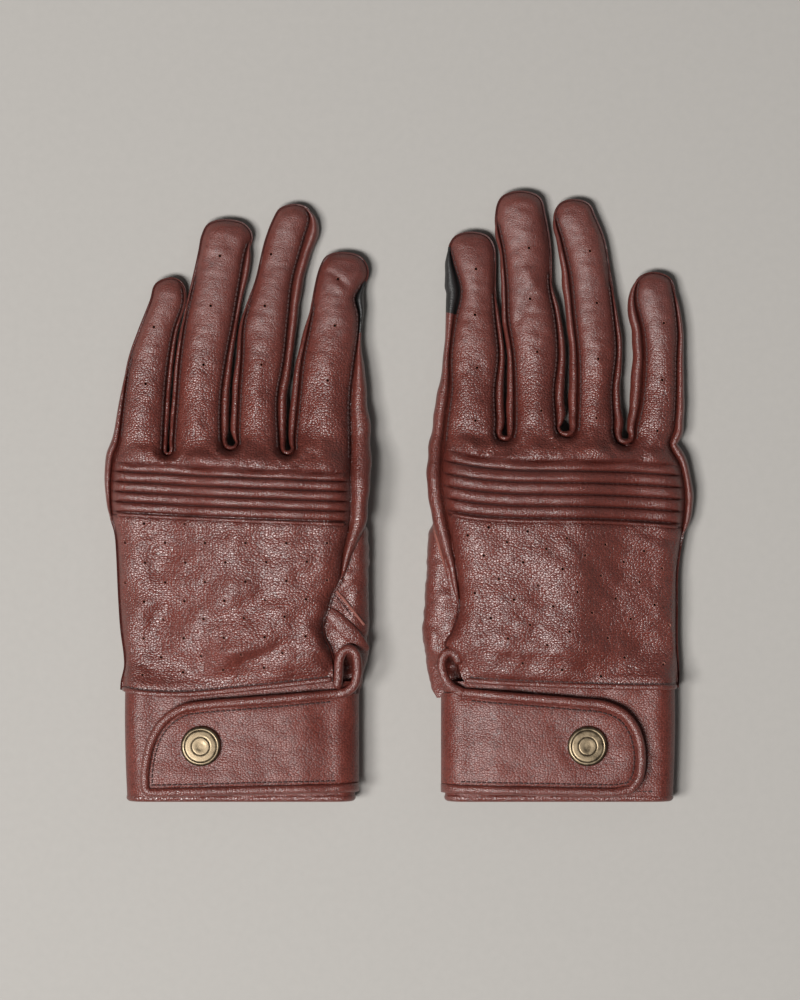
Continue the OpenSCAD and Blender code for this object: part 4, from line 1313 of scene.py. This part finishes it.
def base_points(glove):
    """Points of the slack leather of the thumb base, with its waves and its dent at the vent."""
    ys = np.linspace(4, -81, 72)
    edge = glove.border[glove.spans["index"][1]:]
    order = np.argsort(edge[:, 1])
    inner = np.interp(ys, edge[order, 1], edge[order, 0])
    outer = table(glove.design["thumb_side"], ys)
    outer += (inner + 1.5 - outer) * smooth01((ys + 16) / 18)
    rows = []
    for y, far, near in zip(ys, inner, outer):
        top = float(glove.seam_z(np.array([[far, y]]))[0]) - 1.8
        ease = float(smooth01((8 - y) / 14))
        rows.append(base_section(y, far, near, min(top, 17.5) * ease + 9 * (1 - ease)))
    verts = np.vstack(rows)
    wave = 0.55 * ripple(verts[:, :2], 11, glove.seed + 9, (1.0, 0.8))
    wave += 0.35 * ripple(verts[:, :2], 5.5, glove.seed + 10, (1.6, 0.8))
    low = smooth01((verts[:, 1] + 79) / 10)
    verts[:, 0] += 0.5 * wave
    verts[:, 2] = np.maximum(verts[:, 2] + wave * low * smooth01(verts[:, 2] / 6), 0.2)
    vent = np.mean(glove.design["keyhole"], axis=0)
    near_vent = np.exp(-((np.linalg.norm(verts[:, :2] - vent, axis=1) / 4.2) ** 2))
    verts[:, 2] -= 7.0 * near_vent * smooth01((verts[:, 2] - 9) / 4)
    return verts, len(rows)


def build_thumb_base(glove):
    """Slack leather between the hand's thumb edge and the cuff, its folds and its raw edge."""
    verts, rows = base_points(glove)
    base = make_object(f"{glove.side}_thumb_base", verts, grid_faces(rows, BASE_POINTS),
                       glove.sign, [ROLL_LEATHER, CUT_EDGE])
    ride_hand(glove, thicken(base, LEATHER_T), "oxblood_leather", "side_strips")
    for k, (line, radius) in enumerate(glove.design["base_folds"]):
        path = drape(spline(line, 0.9), verts, 0.0)
        size = radius * np.sin(np.linspace(0.2, math.pi - 0.2, len(path))) ** 0.5
        hand_piece(glove, f"base_fold_{k + 1}", tube(path, size, 18, 0.5), ROLL_LEATHER)
    path = drape(spline(glove.design["base_seam"], 0.9), verts, 0.2)
    size = 0.55 + 0.12 * ripple(path, 5, glove.seed + 12)
    hand_piece(glove, "base_raw_edge", tube(path, size, 10, 0.6), CUT_EDGE)
    hand_piece(glove, "base_stitches", stitch_row(path + (1.5, -0.9, 0.1), 1.9, 1.2, 0.22), THREAD)


def drape(line, verts, above):
    """Points of a plan line laid on the upper one of the layers that these points make."""
    heights = [np.sort(verts[np.argsort(((verts[:, :2] - p) ** 2).sum(1))[:8], 2])[-3:].mean()
               for p in line]
    smooth = np.convolve(np.pad(heights, 3, mode="edge"), np.ones(7) / 7, "valid")
    return np.column_stack([line, smooth + above])


def cuff_section(inset, low_u, high_u, count=120):
    """Points (u, z) round the flattened cuff."""
    r = CUFF_Z / 2
    arc = np.linspace(-math.pi / 2, math.pi / 2, 17)
    near = np.column_stack([low_u + r - (r - inset) * np.cos(arc), r + (r - inset) * np.sin(arc)])
    far = np.column_stack([high_u - r + (r - inset) * np.cos(arc), r - (r - inset) * np.sin(arc)])
    loop = np.vstack([near, far, near[:1]])
    return resample(loop, np.linspace(0, 1, count + 1)[:-1])


def build_cuff(glove):
    """The cuff band, its hem piping and their stitches."""
    low_u, far = cuff_sides(glove)
    near = low_u + 1.5
    open_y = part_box(f"{glove.side}_cuff_piping")[0].y * 1000
    seam_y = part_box(f"{glove.side}_cuff_band")[1].y * 1000 + 2.5
    rows = []
    for y in np.linspace(open_y + 1.4, seam_y, 34):
        t = (y - open_y) / (seam_y - open_y)
        loop = cuff_section(0, near - 0.6 * t, far + 0.5 * math.sin(3 * t) - 0.8 * (1 - t))
        rows.append(np.column_stack([loop[:, 0], np.full(len(loop), y), loop[:, 1]]))
    verts = np.vstack(rows)
    dent = 0.3 * ripple(verts[:, :2], 17, glove.seed + 20)
    dent += 0.1 * ripple(verts[:, :2], 6, glove.seed + 21)
    verts[:, 2] += dent * smooth01((verts[:, 2] - 9) / 6)
    band = make_object(f"{glove.side}_cuff_leather", verts,
                       grid_faces(len(rows), len(rows[0]), True), glove.sign,
                       [STRAP_LEATHER, CUT_EDGE])
    ride_hand(glove, thicken(band, 1.5), "oxblood_leather", "cuff_band")
    loop = cuff_section(1.2, near, far - 0.8, 150)
    path = np.column_stack([loop[:, 0], np.full(len(loop), open_y + 1.5), loop[:, 1]])
    path[:, 2] = np.clip(path[:, 2], 1.55, None)
    ride_hand(glove, closed_tube(glove, f"{glove.side}_hem_piping", path, 1.55), "oxblood_leather",
              "cuff_piping")
    line = loop[loop[:, 1] > 14.5]
    line = line[np.argsort(line[:, 0])]
    row = np.column_stack([line[:, 0], np.full(len(line), open_y + 4.2),
                           np.full(len(line), CUFF_Z + 0.15)])
    hand_piece(glove, "cuff_stitches", stitch_row(row, 2.2, 1.4, 0.2), THREAD)


def closed_tube(glove, name, path, radius, segments=14):
    """A ring of cord along a closed path that lies in a plane of constant y."""
    along = np.roll(path, -1, 0) - np.roll(path, 1, 0)
    along /= np.linalg.norm(along, axis=1)[:, None]
    side = np.cross(along, (0, 1.0, 0))
    turn = np.arange(segments) * 2 * math.pi / segments
    rows = [p + radius * (np.outer(np.cos(turn), s) + np.outer(np.sin(turn), (0, 1.0, 0)))
            for p, s in zip(path, side)]
    verts = np.vstack(rows + rows[:1])
    return make_object(name, verts, grid_faces(len(rows) + 1, segments, True), glove.sign,
                       ROLL_LEATHER)


def build_lining(glove):
    """A bag of knitted cloth inside the cuff and the hand."""
    border = glove.border
    outer_line, inner_line = border[:glove.spans["pinky"][0]], border[glove.spans["index"][1]:]
    inner_line = inner_line[np.argsort(inner_line[:, 1])]
    rows = []
    for y in np.concatenate([np.linspace(-118, -80, 10), np.linspace(-76, 12.5, 24)]):
        into = float(smooth01((y + 82) / 10))
        far = np.interp(y, outer_line[:, 1], outer_line[:, 0]) * into + 109 * (1 - into) - 3.2
        near = np.interp(y, inner_line[:, 1], inner_line[:, 0]) * into + 18 * (1 - into) + 3.2
        p = np.column_stack([np.linspace(near, far, LINING_POINTS), np.full(LINING_POINTS, y)])
        rise = glove.crown.at(p)[0]
        top = (glove.seam_z(p) + CROWN_GAIN * rise - 3.0) * into + 13.6 * (1 - into)
        bottom = (glove.palm_z(p) + 2.0) * into + 2.4 * (1 - into)
        top = np.maximum(top, bottom + 0.8)
        rows.append(np.vstack([np.column_stack([p, top]), np.column_stack([p, bottom])[::-1]]))
    faces = flip(grid_faces(len(rows), 2 * LINING_POINTS, True))
    bag = make_object(f"{glove.side}_lining_bag", np.vstack(rows), faces, glove.sign, LINING)
    ride_hand(glove, thicken(bag, 0.5), "lining", "lining")


def over_edge(verts, edge, radius=9.7):
    """Lowers the strap onto the cuff's side and bends what reaches past u = edge round it."""
    verts = verts - (0, 0, 2.4) * smooth01((edge + 14 - verts[:, :1]) / 14)
    past = np.maximum(edge - verts[:, 0], 0)
    angle = np.minimum(past / radius, math.pi / 2)
    out = verts.copy()
    out[:, 0] = np.where(past > 0, edge - radius * np.sin(angle), verts[:, 0])
    extra = np.maximum(past - radius * math.pi / 2, 0)
    out[:, 2] -= radius * (1 - np.cos(angle)) + extra
    return out


def strap_level(glove, p):
    """Height of the strap's face, a little slack between its piping and its snap."""
    return 20.2 + 0.3 * ripple(p, 24, glove.seed + 30) + 0.12 * ripple(p, 9, glove.seed + 31)


def strap_plan(design):
    """The line under the strap's piping, the direction into the strap, and its outline."""
    front, rear = spline(design["strap_front"], 1.0), spline(design["strap_rear"], 1.0)
    centre = np.vstack([front, rear])
    along = np.gradient(centre, axis=0)
    along /= np.linalg.norm(along, axis=1)[:, None]
    inward = np.column_stack([along[:, 1], -along[:, 0]])
    root = chord(np.array([12.0, -116.2]), np.array([12.0, -79.0]))
    lead = chord(np.array([12.0, -79.0]), front[0])
    return centre, inward, np.vstack([lead, centre[:-1] + 0.9 * inward[:-1], root])


def strap_plate(glove, centre, outline):
    """Points and faces of the strap's leather, drawn in at its piping and pressed at its snap."""
    flat, faces = triangulate(outline, 1.25)
    edge = distance_to(centre, flat)
    z = strap_level(glove, flat) - 1.2 * np.exp(-((edge / 2.6) ** 2))
    snap = np.array(snap_place(glove)[:2])
    gap = np.linalg.norm(flat - snap, axis=1)
    z = z - 0.35 * np.exp(-(((gap - 8.5) / 3) ** 2))
    return np.column_stack([flat, np.where(gap < 8.5, np.minimum(z, 20.1), z)]), faces


def strap_piece(glove, label, mesh, material, nodes=(), thickness=0.0):
    """A piece of the strap, bent round the cuff's side, that stands for these CAD nodes."""
    verts = over_edge(mesh[0], cuff_sides(glove)[0] + STRAP_TURN)
    obj = make_object(f"{glove.side}_{label}", verts, mesh[1], glove.sign, material)
    if thickness:
        thicken(obj, thickness)
    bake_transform(obj)
    for node in nodes:
        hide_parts(f"{glove.side}_{node}")


def build_strap(glove):
    """The wrist strap with its piping, keyhole vent and snap."""
    centre, inward, outline = strap_plan(glove.design)
    strap_piece(glove, "strap_leather", strap_plate(glove, centre, outline),
                [STRAP_LEATHER, CUT_EDGE], ["strap"], 1.5)
    path = np.column_stack([centre, np.full(len(centre), PIPING_Z)])
    strap_piece(glove, "strap_edge_piping", tube(path, PIPING_R, 18), ROLL_LEATHER,
                ["strap_piping"])
    line = (centre + 3.0 * inward)[centre[:, 0] > 22][3:-2]
    row = np.column_stack([line, strap_level(glove, line)])
    strap_piece(glove, "strap_stitches", stitch_row(row, 2.1, 1.3, 0.28), THREAD)
    loop = spline(glove.design["keyhole"], 0.9)
    level = np.interp(np.arange(len(loop)), [0, len(loop) * 0.3, len(loop) - 1],
                      [PIPING_Z - 1.6, PIPING_Z - 0.6, PIPING_Z - 2.4])
    hand_piece(glove, "keyhole_piping",
               tube(np.column_stack([loop, level]), PIPING_R + 0.1, 18), ROLL_LEATHER,
               "strap_piping")
    build_snap(glove)


def snap_place(glove):
    """Middle of the snap's cap and the level it sits on."""
    low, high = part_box(f"{glove.side}_snap_cap")
    middle = (low + high) * 500
    return abs(middle.x), middle.y, high.z * 1000 - 2.6


def build_snap(glove):
    """A pressed brass cap with a rolled rim, a flat ring and a dished middle."""
    u, y, z = snap_place(glove)
    profile = [(0, 1.82), (1.2, 1.82), (2.4, 1.88), (3.3, 1.86), (3.52, 1.76), (3.62, 1.6),
               (3.72, 1.76), (3.95, 1.84), (5.0, 1.84), (5.95, 1.78), (6.2, 1.68), (6.3, 1.5),
               (6.4, 1.68), (6.7, 1.82), (7.1, 1.78), (7.6, 1.5), (7.95, 1.0), (8.0, 0.5),
               (7.9, 0.0), (7.5, -0.2), (7.0, -0.2)]
    profile = spline(profile, 0.14)
    sides = 96
    verts = np.vstack([np.column_stack([circle((u, y), max(r, 0.01), sides),
                                        np.full(sides, z + h)]) for r, h in profile])
    last = (len(profile) - 1) * sides
    faces = flip(grid_faces(len(profile), sides, True))
    faces += [tuple(range(sides)), tuple(last + k for k in range(sides))[::-1]]
    cap = make_object(f"{glove.side}_snap_button", verts, faces, glove.sign, BRASS)
    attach(cap, glove.side + "_strap")
    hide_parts(f"{glove.side}_snap_cap")
    for part in ("snap_socket", "snap_stud", "snap_post"):
        node = frame["nodes"][f"{glove.side}_{part}"]
        node.data.materials.clear()
        node.data.materials.append(BRASS)


# ---- the stage -------------------------------------------------------------------------------

def build_stage():
    """A pale floor, soft light from the left and a camera straight above."""
    n = Nodes("floor")
    place = n.put("TexCoord").outputs["Object"]
    grain = n.noise(place, 300.0, 3.0)
    n.shade(Base_Color=n.blend(grain, (0.425, 0.410, 0.389, 1), (0.455, 0.438, 0.415, 1)),
            Roughness=0.85, Specular_IOR_Level=0.2)
    mesh = bpy.data.meshes.new("floor")
    mesh.from_pydata([(-4, -4, 0), (4, -4, 0), (4, 4, 0), (-4, 4, 0)], [], [(0, 1, 2, 3)])
    mesh.materials.append(n.material)
    floor = bpy.data.objects.new("floor", mesh)
    bpy.context.collection.objects.link(floor)
    floor.location.z = -0.0002
    world = bpy.data.worlds.new("studio")
    world.use_nodes = True
    world.node_tree.nodes["Background"].inputs[0].default_value = (1.0, 0.98, 0.96, 1)
    world.node_tree.nodes["Background"].inputs[1].default_value = 0.075
    bpy.context.scene.world = world
    for light in LIGHTS:
        add_light(*light)
    camera = bpy.data.cameras.new("camera")
    holder = bpy.data.objects.new("camera", camera)
    bpy.context.collection.objects.link(holder)
    holder.location = (0, -0.0016, 1.8)
    camera.sensor_width = SENSOR
    camera.lens = SENSOR * VIEW_DISTANCE / VIEW_HEIGHT
    camera.clip_end = 20
    bpy.context.scene.camera = holder


def add_light(name, place, size, power, colour):
    """A square soft light that looks at the middle of the gloves."""
    light = bpy.data.lights.new(name, "AREA")
    light.size = size
    light.energy = power
    light.color = colour
    holder = bpy.data.objects.new(name, light)
    bpy.context.collection.objects.link(holder)
    holder.location = place
    holder.rotation_euler = (-Vector(place)).to_track_quat("-Z", "Y").to_euler()


def build_glove(design):
    """All the pieces of one glove."""
    glove = Glove(design)
    for build in (build_fingers, build_upper_back, build_pad, build_lower_back, build_palm,
                  build_thumb, build_cuff, build_lining, build_strap):
        build(glove)


build_stage()
build_glove(LEFT)
build_glove(RIGHT)
bpy.context.scene.view_settings.view_transform = "Standard"
